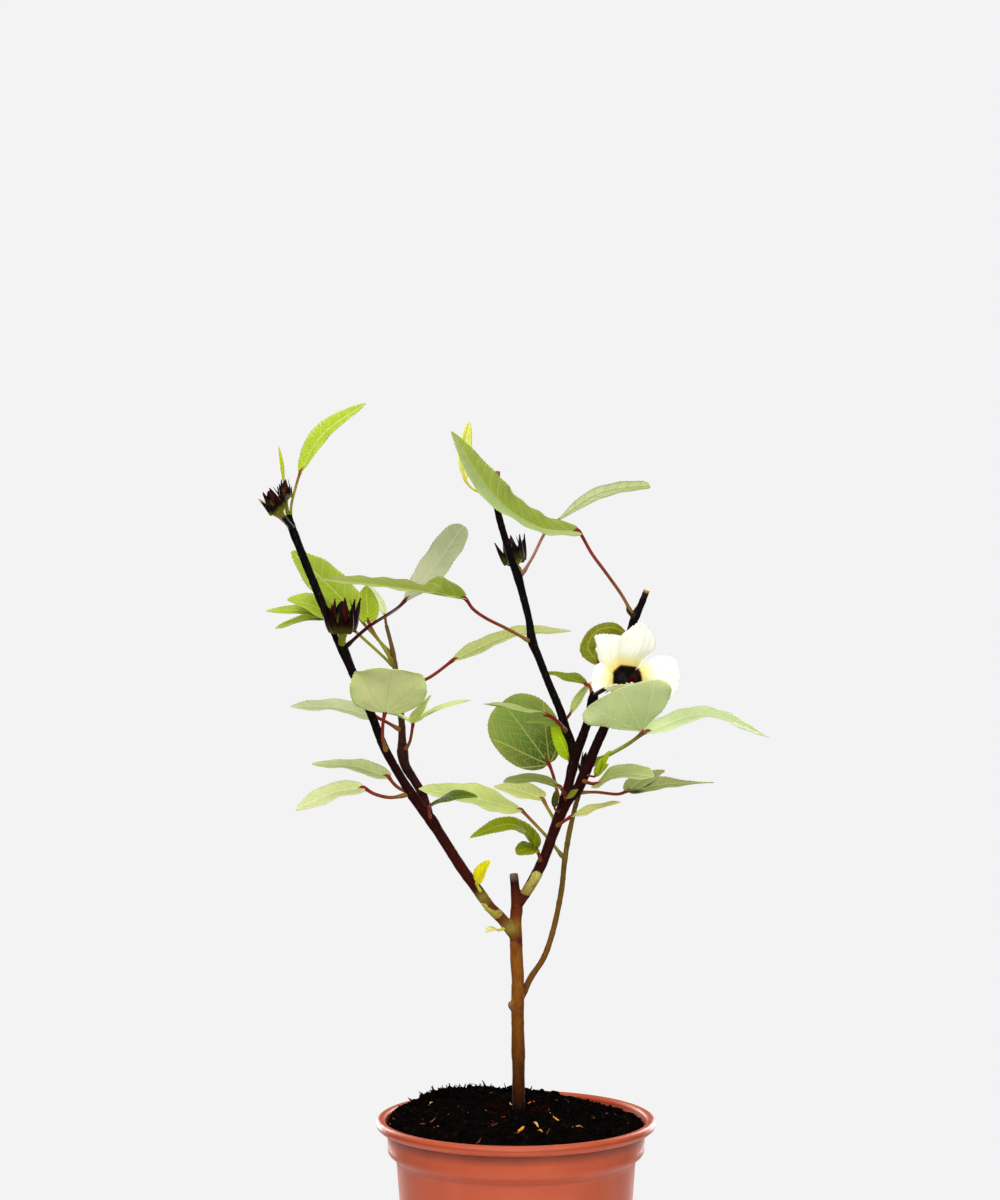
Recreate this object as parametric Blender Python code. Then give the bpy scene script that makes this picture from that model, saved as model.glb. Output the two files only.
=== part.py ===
"""A potted roselle hibiscus: a woody shrub with toothed leaves, dark buds and one open flower.

Lengths are in millimetres here and become metres when a mesh is made. The ground is z = 0, the pot's
axis is the z axis, and -Y is the front. The plant was measured in a level front view. A place on it
is (across, up, back): where that view shows the point in the plane of the pot's axis, and how far
behind that plane the point really lies. place() follows the line of sight to that depth.
"""

import math
import random

import bmesh
import bpy
from mathutils import Vector
from mathutils.bvhtree import BVHTree

# The front view's eye, and the scale of the scene
MM = 0.001
EYE_X, EYE_DISTANCE, EYE_Z = -12.0, 1880.0, 557.0
GAP = 0.4

# The pot
POT_HEIGHT = 168.5
RIM_RADIUS = 105.0
MOUTH_RADIUS = 98.0
LIP_DEPTH = 8.2
NECK_RADIUS = 96.4
STEP_HEIGHT = 138.0
SHOULDER_RADIUS = 90.0
BASE_RADIUS = 78.0
WALL = 1.8
FLOOR_TOP = 4.3
CHANNEL_HEIGHT = 2.5
CHANNEL_INNER, CHANNEL_OUTER = 42.0, 66.0
DRAIN_RADIUS = 4.5
DRAINS = 5
POT_SIDES = 40
DRAIN_SIDES = 8
HOLE_SIDES = 16

# The soil
SOIL_EDGE_HEIGHT = 162.5
MOUND = 12.0
TRUNK_FOOT = 118.0
CHIPS = 15

# The plant
BARK_SIDES = 8
RING_SPACING = 12.0
PETIOLE_RADIUS = 1.3
BLADE_THICKNESS = 0.7
PETAL_THICKNESS = 0.7
TOOTH = 0.055

# Colours (linear red, green, blue) and roughness of each kind of piece
LOOKS = {
    "pot": ((0.58, 0.115, 0.055), 0.45),
    "soil": ((0.012, 0.009, 0.007), 0.95),
    "bark": ((0.045, 0.012, 0.010), 0.55),
    "leaf": ((0.26, 0.38, 0.09), 0.45),
    "pale_leaf": ((0.45, 0.58, 0.22), 0.5),
    "young_leaf": ((0.42, 0.60, 0.03), 0.45),
    "yellow_leaf": ((0.80, 0.68, 0.02), 0.5),
    "dark_leaf": ((0.10, 0.20, 0.02), 0.35),
    "bud": ((0.020, 0.006, 0.008), 0.6),
    "petal": ((0.93, 0.92, 0.70), 0.5),
    "column": ((0.35, 0.02, 0.02), 0.5),
    "calyx": ((0.12, 0.10, 0.03), 0.5),
}

# Blade outlines: how fast the half width rises at the base and falls to the tip, and how far the
# base lobes sweep back, as a share of the half width
OVATE = (0.45, 0.75, 0.25)
LANCE = (0.60, 0.80, 0.05)
ROUND = (0.42, 0.50, 0.30)
OBLONG = (0.35, 0.45, 0.15)
OBOVATE = (0.78, 0.44, 0.0)
BLUNT = (0.80, 0.32, 0.0)
FAN = (1.30, 0.42, 0.0)
TAILED = (0.55, 1.9, 0.1)
BROAD = (0.40, 0.85, 0.05)
DISC = (0.50, 0.44, 0.06)

# Centre lines of the woody stems, as (across, up, back, radius), each from inside its parent
STEMS = {
    "trunk": [
        (1.9, 118, 0, 5.2), (1.9, 150, 0, 5.1), (1.9, 178, 0, 4.9), (1.9, 207, 0, 4.8),
        (1.7, 218, 0, 5.3), (1.4, 235, 0, 4.8), (1.2, 250, 0, 5.0), (1.4, 272, 0, 4.8),
        (0.5, 286, 0, 4.9), (0, 304, 0, 4.8), (-0.4, 314, 0, 4.7), (0.6, 327, 0, 4.5),
        (-0.4, 338, 0, 3.7), (-1.7, 351.4, 0, 3.2),
    ],
    "left": [
        (1.0, 301, 0, 3.6), (-9.5, 316, -3, 4.2), (-19.3, 326, -6, 4.1), (-28.8, 339, -9, 4.0),
        (-41.2, 356, -14, 4.1), (-55.6, 378.6, -19, 4.0), (-64.2, 392, -23, 4.3),
        (-72.0, 402, -25, 4.0), (-81.2, 415, -28, 3.5), (-93.2, 435, -31, 3.2),
        (-100.4, 449, -33, 3.3), (-109.2, 472, -36, 3.2), (-119.6, 495, -38, 3.1),
        (-131, 522, -40, 3.8), (-143.5, 549, -41, 3.2), (-152.4, 570.6, -42, 3.1),
        (-160.2, 590, -43, 3.1), (-168, 610, -44, 3.0), (-171.4, 621, -44, 2.6),
    ],
    "inner": [
        (-62, 386, -20, 2.6), (-69.5, 409, -10, 3.3), (-76.2, 421, -2, 3.3), (-83.0, 432, 5, 3.7),
        (-85.2, 442, 9, 4.2), (-85.6, 453, 13, 3.0), (-86, 466, 16, 2.6), (-88.4, 485, 22, 2.5),
        (-90.5, 504, 27, 2.2), (-93.2, 521, 31, 1.8), (-97.5, 538, 35, 1.4),
    ],
    "right": [
        (0.4, 326, 0, 3.6), (11.8, 344, 4, 4.3), (17.0, 354, 5, 4.1), (22.0, 365, 7, 4.0),
        (28.3, 382.5, 10, 4.0), (34.2, 398, 13, 4.3), (39.2, 407, 13, 4.2), (46.8, 415.5, 11, 4.1),
        (51.0, 425, 9, 4.0), (56.8, 439, 6, 3.8), (61.9, 451, 4, 3.7), (66.4, 461, 3, 3.6),
        (73, 480, 3, 3.4), (79.8, 508, 4, 3.1), (86, 534, 5, 2.8), (90.6, 546.5, 6, 3.3),
        (93.9, 553, 6, 2.7), (98.4, 564.5, 6, 2.5),
    ],
    "fork": [
        (31, 392, 12, 3.2), (38.5, 414, 16, 3.7), (42.3, 430, 19, 3.8), (45.8, 443, 20, 4.0),
        (50.4, 455, 18, 3.5), (55.0, 469, 16, 3.4), (57.9, 482, 12, 3.9), (59.2, 487.5, 10, 2.6),
    ],
    "middle": [
        (43.4, 437, 19.5, 3.0), (41.4, 450, 24, 3.3), (37.4, 460, 27, 3.4), (33.2, 474, 31, 3.2),
        (24.4, 495, 35, 3.0), (17.0, 514, 38, 3.1), (12.2, 526, 40, 3.5), (9.8, 542, 41, 2.9),
        (5.6, 559, 42, 3.0), (1.3, 575, 42, 3.4), (-2.9, 586, 43, 3.0), (-7.8, 602, 43, 2.8),
        (-13.3, 622, 43, 2.7), (-15.8, 640, 43, 2.5), (-13.4, 654, 43, 2.0),
    ],
    "back": [
        (1.5, 251, 0, 2.0), (6.4, 263, 5, 2.6), (11.4, 273.5, 9, 2.4), (19.8, 286, 16, 2.3),
        (24.8, 298, 21, 2.3), (29.8, 316, 28, 2.2), (34.4, 340, 33, 2.2), (36.5, 360, 37, 2.1),
        (39.5, 379, 40, 2.2), (42.3, 392, 42, 2.0), (45, 403, 43, 1.9), (48.5, 414, 42, 1.7),
    ],
    "lower_bud": [(-14, 321, -5, 2.0), (-22, 324.5, -7, 1.7), (-23.5, 328, -7, 0.9)],
    "trunk_bud": [(1.5, 246, 0, 1.8), (-4.2, 251, -1, 1.6), (-5.0, 255, -1, 0.8)],
    "right_bud": [(7, 337, 2, 2.0), (13.5, 344.5, 1, 1.7), (15.5, 349, 1, 0.9)],
    "top_bud": [(88.6, 545, 6, 2.0), (84.4, 549, 2, 1.6), (83.6, 553, 1, 0.8)],
}

# Each leaf: petiole from its stem, midrib from base to tip, the way its upper side looks, its full
# width, its outline and its colour
LEAVES = {
    "leaf_left_1": (
        [(-80, 411, -28), (-94, 408.5, -32), (-106, 411, -35)],
        [(-115, 416, -38), (-138, 412, -46), (-165.7, 399, -56)],
        (0.1, -0.50, 0.85), 20, OVATE, "pale_leaf"),
    "leaf_left_2": (
        [(-79, 412.5, -28), (-87, 415, -20), (-92, 419, -14)],
        [(-96, 424, -9), (-122, 432, 4), (-153.7, 434, 20)],
        (0.1, -0.42, 0.90), 20, OVATE, "leaf"),
    "leaf_left_3": (
        [(-63, 389, -22), (-65.5, 398, -31)],
        [(-64, 403, -36), (-46, 409, -46), (-29, 409, -58)],
        (0.0, -0.42, 0.90), 16, OVATE, "dark_leaf"),
    "leaf_left_4": (
        [(-97, 441, -32), (-100, 452, -40), (-100, 464, -44)],
        [(-98.6, 472, -47), (-96, 489, -68), (-93, 505, -93)],
        (0.05, 0.52, 0.85), 56, ROUND, "pale_leaf"),
    "leaf_left_5": (
        [(-130, 520, -40), (-112, 536, -32), (-98, 545, -9), (-89, 551, 13)],
        [(-84, 556, 20), (-62, 581, 27), (-39.5, 613, 35)],
        (-0.35, -0.88, 0.30), 26, OBOVATE, "leaf"),
    "leaf_left_6": (
        [(-169.6, 614, -43), (-168.9, 628, -42), (-165.6, 642, -44)],
        [(-162.4, 652.5, -46), (-145, 682, -56), (-113, 705, -66)],
        (0.35, -0.75, 0.50), 13, LANCE, "young_leaf"),
    "leaf_left_7": (
        [(-171, 618, -43), (-174.5, 630, -33)],
        [(-174.5, 645, -31), (-176, 659, -33), (-178.5, 673, -36)],
        (0.2, -0.9, 0.1), 2.8, LANCE, "young_leaf"),
    "leaf_left_8": (
        [(-166.5, 606, -43.5), (-173, 614, -39)],
        [(-178, 619, -38), (-186, 626, -39), (-193.5, 633, -41)],
        (0.3, -0.8, 0.5), 4.5, LANCE, "young_leaf"),
    "leaf_left_9": (
        [(-25, 335, -8), (-29, 342, -16)],
        [(-29.5, 345, -20), (-26, 353, -25), (-19.5, 361, -30)],
        (-0.5, -0.75, 0.3), 11, OVATE, "yellow_leaf"),
    "leaf_left_10": (
        [(-5, 311, -2), (-12, 309, -7)],
        [(-14, 309, -9), (-18, 310, -13), (-23, 307, -18)],
        (0.0, -0.5, 0.85), 6, LANCE, "yellow_leaf"),
    "leaf_inner_1": (
        [(-85, 458, 14), (-97, 465, 10), (-103, 468, 7)],
        [(-107, 470, 5), (-136, 476, 0), (-169.5, 477, -8)],
        (0.05, -0.35, 0.93), 26, OVATE, "leaf"),
    "leaf_inner_3": (
        [(-88.3, 483, 22), (-80, 491, 30), (-63, 500, 40)],
        [(-47, 512, 46), (-3, 531, 60), (41.5, 534, 70)],
        (0.15, -0.30, 0.92), 22, LANCE, "leaf"),
    "leaf_inner_4": (
        [(-93, 515, 30), (-106, 530, 35), (-115, 540, 26)],
        [(-119, 546, 19), (-143, 570, 15), (-169, 594, 14)],
        (0.30, -0.85, 0.40), 30, OVATE, "young_leaf"),
    "leaf_inner_5": (
        [(-91.5, 508, 28), (-100, 522, 20), (-107, 533, 11)],
        [(-111, 541, 7), (-112, 554, 3), (-112.6, 568, 0)],
        (0.1, -0.80, 0.2), 17, OVATE, "young_leaf"),
    "leaf_inner_7": (
        [(-97, 535, 34), (-98, 541, 38)],
        [(-98.5, 545, 40), (-103, 556, 46), (-110, 568, 50)],
        (0.3, -0.85, 0.3), 7, LANCE, "young_leaf"),
    "leaf_middle_1": (
        [(12, 525, 39.5), (-6, 535, 30), (-22, 543, 22), (-32, 550, 16)],
        [(-38, 558, 10), (-93, 567, -16), (-150, 573, -33)],
        (0.05, -0.33, 0.94), 34, LANCE, "leaf"),
    "leaf_middle_2": (
        [(4, 575, 42), (13, 590, 45), (21, 606, 48)],
        [(30.5, 616.5, 51), (64, 637.5, 60), (100.5, 643, 68)],
        (-0.1, -0.56, 0.83), 17, BLUNT, "leaf"),
    "leaf_middle_3": (
        [(-15, 634, 43), (-24, 637, 48), (-33, 641, 52)],
        [(-38.5, 648, 53), (-38.5, 670, 58), (-35, 692, 62)],
        (0.5, -0.80, 0.1), 12, LANCE, "yellow_leaf"),
    "leaf_middle_4": (
        [(38.5, 457, 27), (33, 464, 12), (27, 469, 4)],
        [(22, 471, 0), (0, 475, -10), (-24, 479, -22)],
        (0.0, -0.18, 0.98), 22, LANCE, "leaf"),
    "leaf_middle_5": (
        [(39.3, 457, 26), (36, 461, 31)],
        [(32.5, 463.5, 32), (19, 465.5, 34), (6.5, 465, 36)],
        (0.0, -0.30, 0.95), 15, OVATE, "leaf"),
    "leaf_middle_6": (
        [(42, 429, 19), (41.5, 432, 26)],
        [(40, 437, 29), (35, 450, 33), (27, 465, 37)],
        (-0.5, -0.70, 0.2), 14, LANCE, "young_leaf"),
    "leaf_middle_7": (
        [(57.5, 481, 12), (56, 491, 16)],
        [(52, 494, 20), (38, 499, 36), (22.5, 503, 54)],
        (0.1, -0.35, 0.92), 17, LANCE, "leaf"),
    "leaf_middle_8": (
        [(36.5, 466, 29), (39, 469, 35)],
        [(41, 472, 37), (48, 484, 34), (57.5, 496, 27)],
        (-0.45, -0.60, 0.5), 9, LANCE, "young_leaf"),
    "leaf_right_1": (
        [(88, 545, 5), (80, 560, -2), (68, 577, -6), (57, 592, -5)],
        [(47.5, 608.5, -4), (20, 611, -13), (-6, 625.5, -22), (-27, 649, -29), (-48.6, 684, -38)],
        (-0.20, -0.62, 0.75), 35, BROAD, "leaf"),
    "leaf_right_2": (
        [(60, 486, 8.5), (61, 495, 20), (62, 503, 24)],
        [(62, 510, 25), (54, 521, 27), (60, 533, 30), (72, 536.5, 33), (83, 532, 35)],
        (-0.1, -0.75, 0.55), 13, OBLONG, "leaf"),
    "leaf_right_3": (
        [(53, 430, 8), (62, 436, 7), (71, 441, 1), (85, 449, -26)],
        [(95, 457.6, -52), (88, 472, -66), (78.6, 491, -80)],
        (-0.12, 0.71, 0.71), 68, FAN, "pale_leaf"),
    "leaf_right_4": (
        [(55.5, 436, 7), (64, 438.5, 14), (72, 442, 12), (86, 450, 0)],
        [(98, 458, -16), (143, 471, -4), (190, 454, 10)],
        (0.0, -0.38, 0.92), 24, OVATE, "pale_leaf"),
    "leaf_right_6": (
        [(49.5, 421.5, 9.5), (54.5, 419.5, 0), (58, 418.8, -8)],
        [(61, 418.8, -12), (80, 426, -30), (103.5, 424, -52)],
        (0.0, -0.50, 0.86), 30, OVATE, "leaf"),
    "leaf_right_8": (
        [(29, 386, 10), (36, 390.5, 2)],
        [(42, 394.5, -2), (60, 400, -10), (78.5, 405, -21)],
        (0.0, -0.35, 0.93), 16, LANCE, "leaf"),
    "leaf_right_9": (
        [(35, 401, 13), (31, 413, 30), (28, 425, 41)],
        [(24.8, 433.6, 46), (7, 458, 58), (-10, 480.5, 70)],
        (-0.25, -0.85, 0.45), 53, DISC, "dark_leaf"),
    "leaf_right_10": (
        [(37, 410, 15.5), (35, 414, 6)],
        [(32.5, 417, 2), (11, 422, -8), (-9.5, 420, -22)],
        (0.0, -0.35, 0.93), 20, OVATE, "dark_leaf"),
    "leaf_right_11": (
        [(30, 389, 11), (27, 395, 22), (23, 402, 30)],
        [(20, 407.5, 33), (2, 414, 42), (-17, 417, 52)],
        (0.0, -0.42, 0.90), 22, OVATE, "leaf"),
    "leaf_right_13": (
        [(33, 397, 12), (30, 399, 2)],
        [(29, 401, -2), (29.2, 407, -5), (29.5, 413.5, -7)],
        (0.1, -0.90, 0.1), 5, LANCE, "dark_leaf"),
    "leaf_right_14": (
        [(38, 405.5, 13), (37, 408, 7)],
        [(38, 409, 5), (42, 411, -1), (46.5, 414.5, -5)],
        (-0.2, -0.80, 0.5), 6, LANCE, "young_leaf"),
    "leaf_back_1": (
        [(36.6, 362, 37), (24, 378, 29), (10, 393, 22)],
        [(3.5, 399.5, 18), (-35, 409, -2), (-73, 415, -14)],
        (0.10, -0.50, 0.85), 31, LANCE, "pale_leaf"),
}

# Lobed leaves: a petiole, the shared base, then each lobe's midrib from it with its width and outline
LOBED_LEAVES = {
    "leaf_inner_2": (
        [(-84.5, 443, 9.5), (-80, 450, 2), (-78, 460, -2)], (-77.6, 465, -4),
        [([(-88, 470, -14), (-97, 472, -26)], 16, LANCE), ([(-72, 474, -14), (-64, 486, -26)], 15, LANCE),
         ([(-58, 475, -12), (-34.5, 482, -30)], 15, LANCE)],
        (0.0, -0.45, 0.88), "leaf"),
    "leaf_inner_6": (
        [(-90.8, 506, 27.5), (-108, 522, 14), (-125, 537, 2)], (-136, 545, -4),
        [([(-154, 553, -9), (-172, 557.5, -16)], 26, OVATE),
         ([(-160, 549, -4), (-187.6, 549, -2)], 14, LANCE), ([(-158, 543, 4), (-181, 536, 13)], 15, LANCE)],
        (0.05, -0.55, 0.82), "young_leaf"),
    "leaf_right_5": (
        [(51.5, 426, 9), (56.5, 424.5, 2)], (59.5, 424.5, -4),
        [([(61.5, 431, -8), (63.8, 437.5, -11)], 5, LANCE), ([(66, 435.5, -9), (71, 444, -14)], 6.5, LANCE),
         ([(65.5, 430, -8), (69.8, 434, -11)], 5, LANCE)],
        (-0.3, -0.75, 0.5), "young_leaf"),
    "leaf_right_12": (
        [(18, 359, 6), (18, 363, 1)], (15.5, 370, -3),
        [([(11.5, 379, -9), (3.5, 386, -14), (-9.4, 388, -20), (-34.5, 378.5, -32)], 16, OVATE),
         ([(8, 370, -8), (0, 366.5, -10)], 15, ROUND)],
        (-0.15, -0.62, 0.75), "leaf"),
    "leaf_right_7": (
        [(44, 412, 12), (60, 412.5, 12), (76, 411, 11)], (84, 413.5, 10),
        [([(112, 418.5, 20), (149, 420, 30)], 24, TAILED), ([(98, 424, 28), (112, 429, 44)], 17, OVATE),
         ([(90, 414.5, 2), (98, 415, -8)], 12, OVATE)],
        (0.0, -0.36, 0.92), "leaf"),
}

# Buds: a short stalk from the stem, the cup's tip, its widest radius and its number of bracts
BUDS = {
    "bud_left_tip": ([(-168, 611, -45), (-173, 617, -55), (-176, 621, -61)], (-186, 638, -66), 7.0, 8),
    "bud_left_small": ([(-171.2, 620, -44), (-172.8, 630, -45)], (-174, 646, -46), 4.2, 5),
    "bud_left": ([(-131, 523, -40), (-130.5, 529, -49)], (-131.0, 555.5, -55), 9.4, 10),
    "bud_middle": ([(3, 576, 42), (2, 580, 51), (0, 581.5, 57)], (-5, 602.5, 62), 8.2, 9),
    "bud_back": ([(48.0, 412.5, 42), (51.2, 424, 41)], (52, 441, 41), 3.6, 4),
}

# The flower
PEDICEL = [(58.5, 485.5, 10), (64, 488.5, -2), (72, 493, -13)]
CALYX_BASE = (77, 496, -18)
EYE_OF_FLOWER = (84.7, 497.5, -30)
CALYX_RADIUS = 7.5
CALYX_END = 2.5
EYE_DEPTH = 1.8
SEPALS, BRACTS = 5, 6
ANTHERS = 9
# Each petal's tip and its width
PETALS = [
    ((94, 536, -40), 34), ((68, 531, -37), 30), ((58, 497, -41), 28),
    ((80, 484, -45), 28), ((119, 499, -43), 36),
]


def clear_scene():
    for thing in list(bpy.data.objects):
        bpy.data.objects.remove(thing)


def place(across, up, back):
    """The point seen at (across, up) in the plane of the pot's axis, moved to the depth `back`."""
    reach = 1 + back / EYE_DISTANCE
    return Vector((EYE_X + (across - EYE_X) * reach, back, EYE_Z + (up - EYE_Z) * reach))


def smooth(points, steps):
    """A Catmull-Rom curve through the points, with `steps` pieces in each span."""
    padded = [2 * points[0] - points[1]] + points + [2 * points[-1] - points[-2]]
    path = []
    for a, b, c, d in zip(padded, padded[1:], padded[2:], padded[3:]):
        for step in range(steps):
            t = step / steps
            bend = (2 * a - 5 * b + 4 * c - d) * t + (3 * b - a - 3 * c + d) * t * t
            path.append(0.5 * (2 * b + (c - a + bend) * t))
    path.append(points[-1].copy())
    return path


def spaced(path, count):
    """The same path as `count` points at equal distances along it."""
    travelled = [0.0]
    for a, b in zip(path, path[1:]):
        travelled.append(travelled[-1] + (b.xyz - a.xyz).length)
    points = []
    span = 0
    for step in range(count):
        target = travelled[-1] * step / (count - 1)
        while span < len(path) - 2 and travelled[span + 1] < target:
            span += 1
        share = (target - travelled[span]) / max(travelled[span + 1] - travelled[span], 1e-9)
        points.append(path[span].lerp(path[span + 1], min(max(share, 0.0), 1.0)))
    return points


def path_length(path):
    return sum((b.xyz - a.xyz).length for a, b in zip(path, path[1:]))


def directions(path):
    """The heading at each point of a path."""
    last = len(path) - 1
    return [(path[min(i + 1, last)].xyz - path[max(i - 1, 0)].xyz).normalized() for i in range(last + 1)]


def ring(centre, heading, right, radius, size):
    """A round section: its top from left to right, then its underside back."""
    up = right.cross(heading)
    half = size // 2
    angles = [math.pi * (1 - (k + 0.5) / half) for k in range(size)]
    return [centre + right * (radius * math.cos(a)) + up * (radius * math.sin(a)) for a in angles]


def loft(mesh, sections):
    """A closed solid through sections alike in size, split into triangles alike on both faces."""
    rows = [[mesh.verts.new(point * MM) for point in section] for section in sections]
    size = len(rows[0])
    half = size // 2
    for near, far in zip(rows, rows[1:]):
        for i in range(size):
            j = (i + 1) % size
            column = i if i < half else size - 2 - i
            if (column < (half - 1) / 2) == (i < half):
                mesh.faces.new((near[i], near[j], far[j]))
                mesh.faces.new((near[i], far[j], far[i]))
            else:
                mesh.faces.new((near[i], near[j], far[i]))
                mesh.faces.new((near[j], far[j], far[i]))
    for row in (rows[0], rows[-1]):
        for k in range(half - 1):
            mesh.faces.new((row[k], row[k + 1], row[size - 1 - k]))
            mesh.faces.new((row[k + 1], row[size - 2 - k], row[size - 1 - k]))
    return mesh


def carried(path, right):
    """Round sections' right-hand directions, carried along the path without twist."""
    rights = []
    for heading in directions(path):
        right = (right - heading * right.dot(heading)).normalized()
        rights.append(right)
    return rights


def tube_sections(path, right, size):
    """Round sections along a path whose points hold (x, y, z, radius)."""
    headings = directions(path)
    rights = carried(path, right)
    return [ring(p.xyz, h, r, p.w, size) for p, h, r in zip(path, headings, rights)]


def new_object(name, mesh, look, sharp_degrees=35):
    """An object from a bmesh, its faces turned outwards, with its own material."""
    bmesh.ops.recalc_face_normals(mesh, faces=mesh.faces)
    if mesh.calc_volume(signed=True) < 0:
        bmesh.ops.reverse_faces(mesh, faces=mesh.faces)
    data = bpy.data.meshes.new(name)
    mesh.to_mesh(data)
    mesh.free()
    data.shade_smooth()
    data.set_sharp_from_angle(angle=math.radians(sharp_degrees))
    thing = bpy.data.objects.new(name, data)
    bpy.context.scene.collection.objects.link(thing)
    colour, roughness = LOOKS[look]
    material = bpy.data.materials.new(name)
    material.use_nodes = True
    shader = material.node_tree.nodes["Principled BSDF"]
    shader.inputs["Base Color"].default_value = (*colour, 1.0)
    shader.inputs["Roughness"].default_value = roughness
    shader.inputs["Metallic"].default_value = 0.0
    data.materials.append(material)
    return thing


def combine(thing, others, operation="UNION"):
    """Joins others to thing, or cuts them from it, and removes them."""
    group = bpy.data.collections.new("operands")
    bpy.context.scene.collection.children.link(group)
    for other in others:
        bpy.context.scene.collection.objects.unlink(other)
        group.objects.link(other)
    modifier = thing.modifiers.new("combine", "BOOLEAN")
    modifier.operation = operation
    modifier.operand_type = "COLLECTION"
    modifier.collection = group
    modifier.solver = "EXACT"
    evaluated = thing.evaluated_get(bpy.context.evaluated_depsgraph_get())
    result = bpy.data.meshes.new_from_object(evaluated)
    thing.modifiers.clear()
    thing.data = result
    while len(result.materials) > 1:
        result.materials.pop()
    for other in others:
        bpy.data.objects.remove(other)
    bpy.data.collections.remove(group)
    return thing


def turned(profile, sides):
    """A solid turned about the z axis from (radius, height) points that start and end on the axis."""
    mesh = bmesh.new()
    rows = []
    for radius, height in profile:
        if radius == 0:
            rows.append([mesh.verts.new(Vector((0, 0, height)) * MM)])
            continue
        angles = [2 * math.pi * k / sides for k in range(sides)]
        points = [Vector((radius * math.cos(a), radius * math.sin(a), height)) for a in angles]
        rows.append([mesh.verts.new(point * MM) for point in points])
    for low, high in zip(rows, rows[1:]):
        for i in range(sides):
            j = (i + 1) % sides
            if len(low) == 1:
                mesh.faces.new((low[0], high[j], high[i]))
            elif len(high) == 1:
                mesh.faces.new((low[i], low[j], high[0]))
            else:
                mesh.faces.new((low[i], low[j], high[j], high[i]))
    return mesh


def arc(centre, radius, start, end, steps):
    """Points of an arc in the (radius, height) plane, in degrees."""
    angles = [math.radians(start + (end - start) * k / steps) for k in range(steps + 1)]
    return [(centre[0] + radius * math.cos(a), centre[1] + radius * math.sin(a)) for a in angles]


def inner_wall():
    """The pot's inner side from the floor up to the mouth, as (radius, height) points."""
    return [
        (BASE_RADIUS - WALL - 1.0, FLOOR_TOP), (BASE_RADIUS - WALL + 0.4, FLOOR_TOP + 3),
        (SHOULDER_RADIUS - WALL, STEP_HEIGHT - 1), (NECK_RADIUS - WALL - 0.8, STEP_HEIGHT + 6),
        (NECK_RADIUS - WALL, STEP_HEIGHT + 10), (MOUTH_RADIUS - WALL, POT_HEIGHT - LIP_DEPTH),
    ]


def make_pot():
    """The pot: a closed wall turned about its axis, with drain holes through its raised channel."""
    lip = (RIM_RADIUS - MOUTH_RADIUS) / 2
    crest = (MOUTH_RADIUS + lip, POT_HEIGHT - lip)
    under = POT_HEIGHT - LIP_DEPTH
    profile = [
        (0, 0), (CHANNEL_INNER - 3, 0), (CHANNEL_INNER, CHANNEL_HEIGHT),
        (CHANNEL_OUTER, CHANNEL_HEIGHT), (CHANNEL_OUTER + 3, 0), (BASE_RADIUS - 1.5, 0),
        (BASE_RADIUS, 1.5), (SHOULDER_RADIUS - 2.6, 105), (SHOULDER_RADIUS, STEP_HEIGHT),
        (NECK_RADIUS - 0.8, STEP_HEIGHT + 4.5), (NECK_RADIUS, STEP_HEIGHT + 8),
        (NECK_RADIUS + 1.0, under), (RIM_RADIUS - 4.4, under + 0.1), (RIM_RADIUS - 1.6, under + 1.2),
        (RIM_RADIUS - 0.2, under + 3.4),
    ]
    profile += arc(crest, lip, 0, 180, 5) + inner_wall()[::-1] + [(0, FLOOR_TOP)]
    pot = new_object("pot", turned(profile, POT_SIDES), "pot")
    drains = []
    for k in range(DRAINS):
        angle = math.radians(30 + 360 * k / DRAINS)
        middle = (CHANNEL_INNER + CHANNEL_OUTER) / 2
        drill = turned([(0, -2), (DRAIN_RADIUS, -2), (DRAIN_RADIUS, 8), (0, 8)], DRAIN_SIDES)
        drain = new_object("drain", drill, "pot")
        drain.location = (middle * math.cos(angle) * MM, middle * math.sin(angle) * MM, 0)
        drains.append(drain)
    return combine(pot, drains, "DIFFERENCE")


def soil_height(x, y):
    """The top of the soil: a low mound at the trunk, a heap behind on the left, and lumps."""
    share = min(math.hypot(x, y) / MOUTH_RADIUS, 1.0)
    heap = 6.5 * math.exp(-((x + 6) / 50) ** 2 - ((y - 66) / 22) ** 2)
    heap += 6.0 * math.exp(-((x + 56) / 28) ** 2 - ((y - 70) / 22) ** 2)
    turn = math.degrees(math.atan2(y, x)) % 360
    brim = 6.2 * math.exp(-((turn - 158) / 24) ** 2) + 2.2 * math.exp(-((turn - 88) / 22) ** 2)
    heap += brim * max(share - 0.6, 0.0) / 0.4
    lumps = 1.3 * math.sin(0.21 * x + 1.3) * math.sin(0.19 * y + 0.4)
    lumps += 0.9 * math.sin(0.43 * x - 0.31 * y)
    return SOIL_EDGE_HEIGHT + MOUND * (1 - share ** 2) + heap + lumps * (1 - share ** 6)


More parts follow.
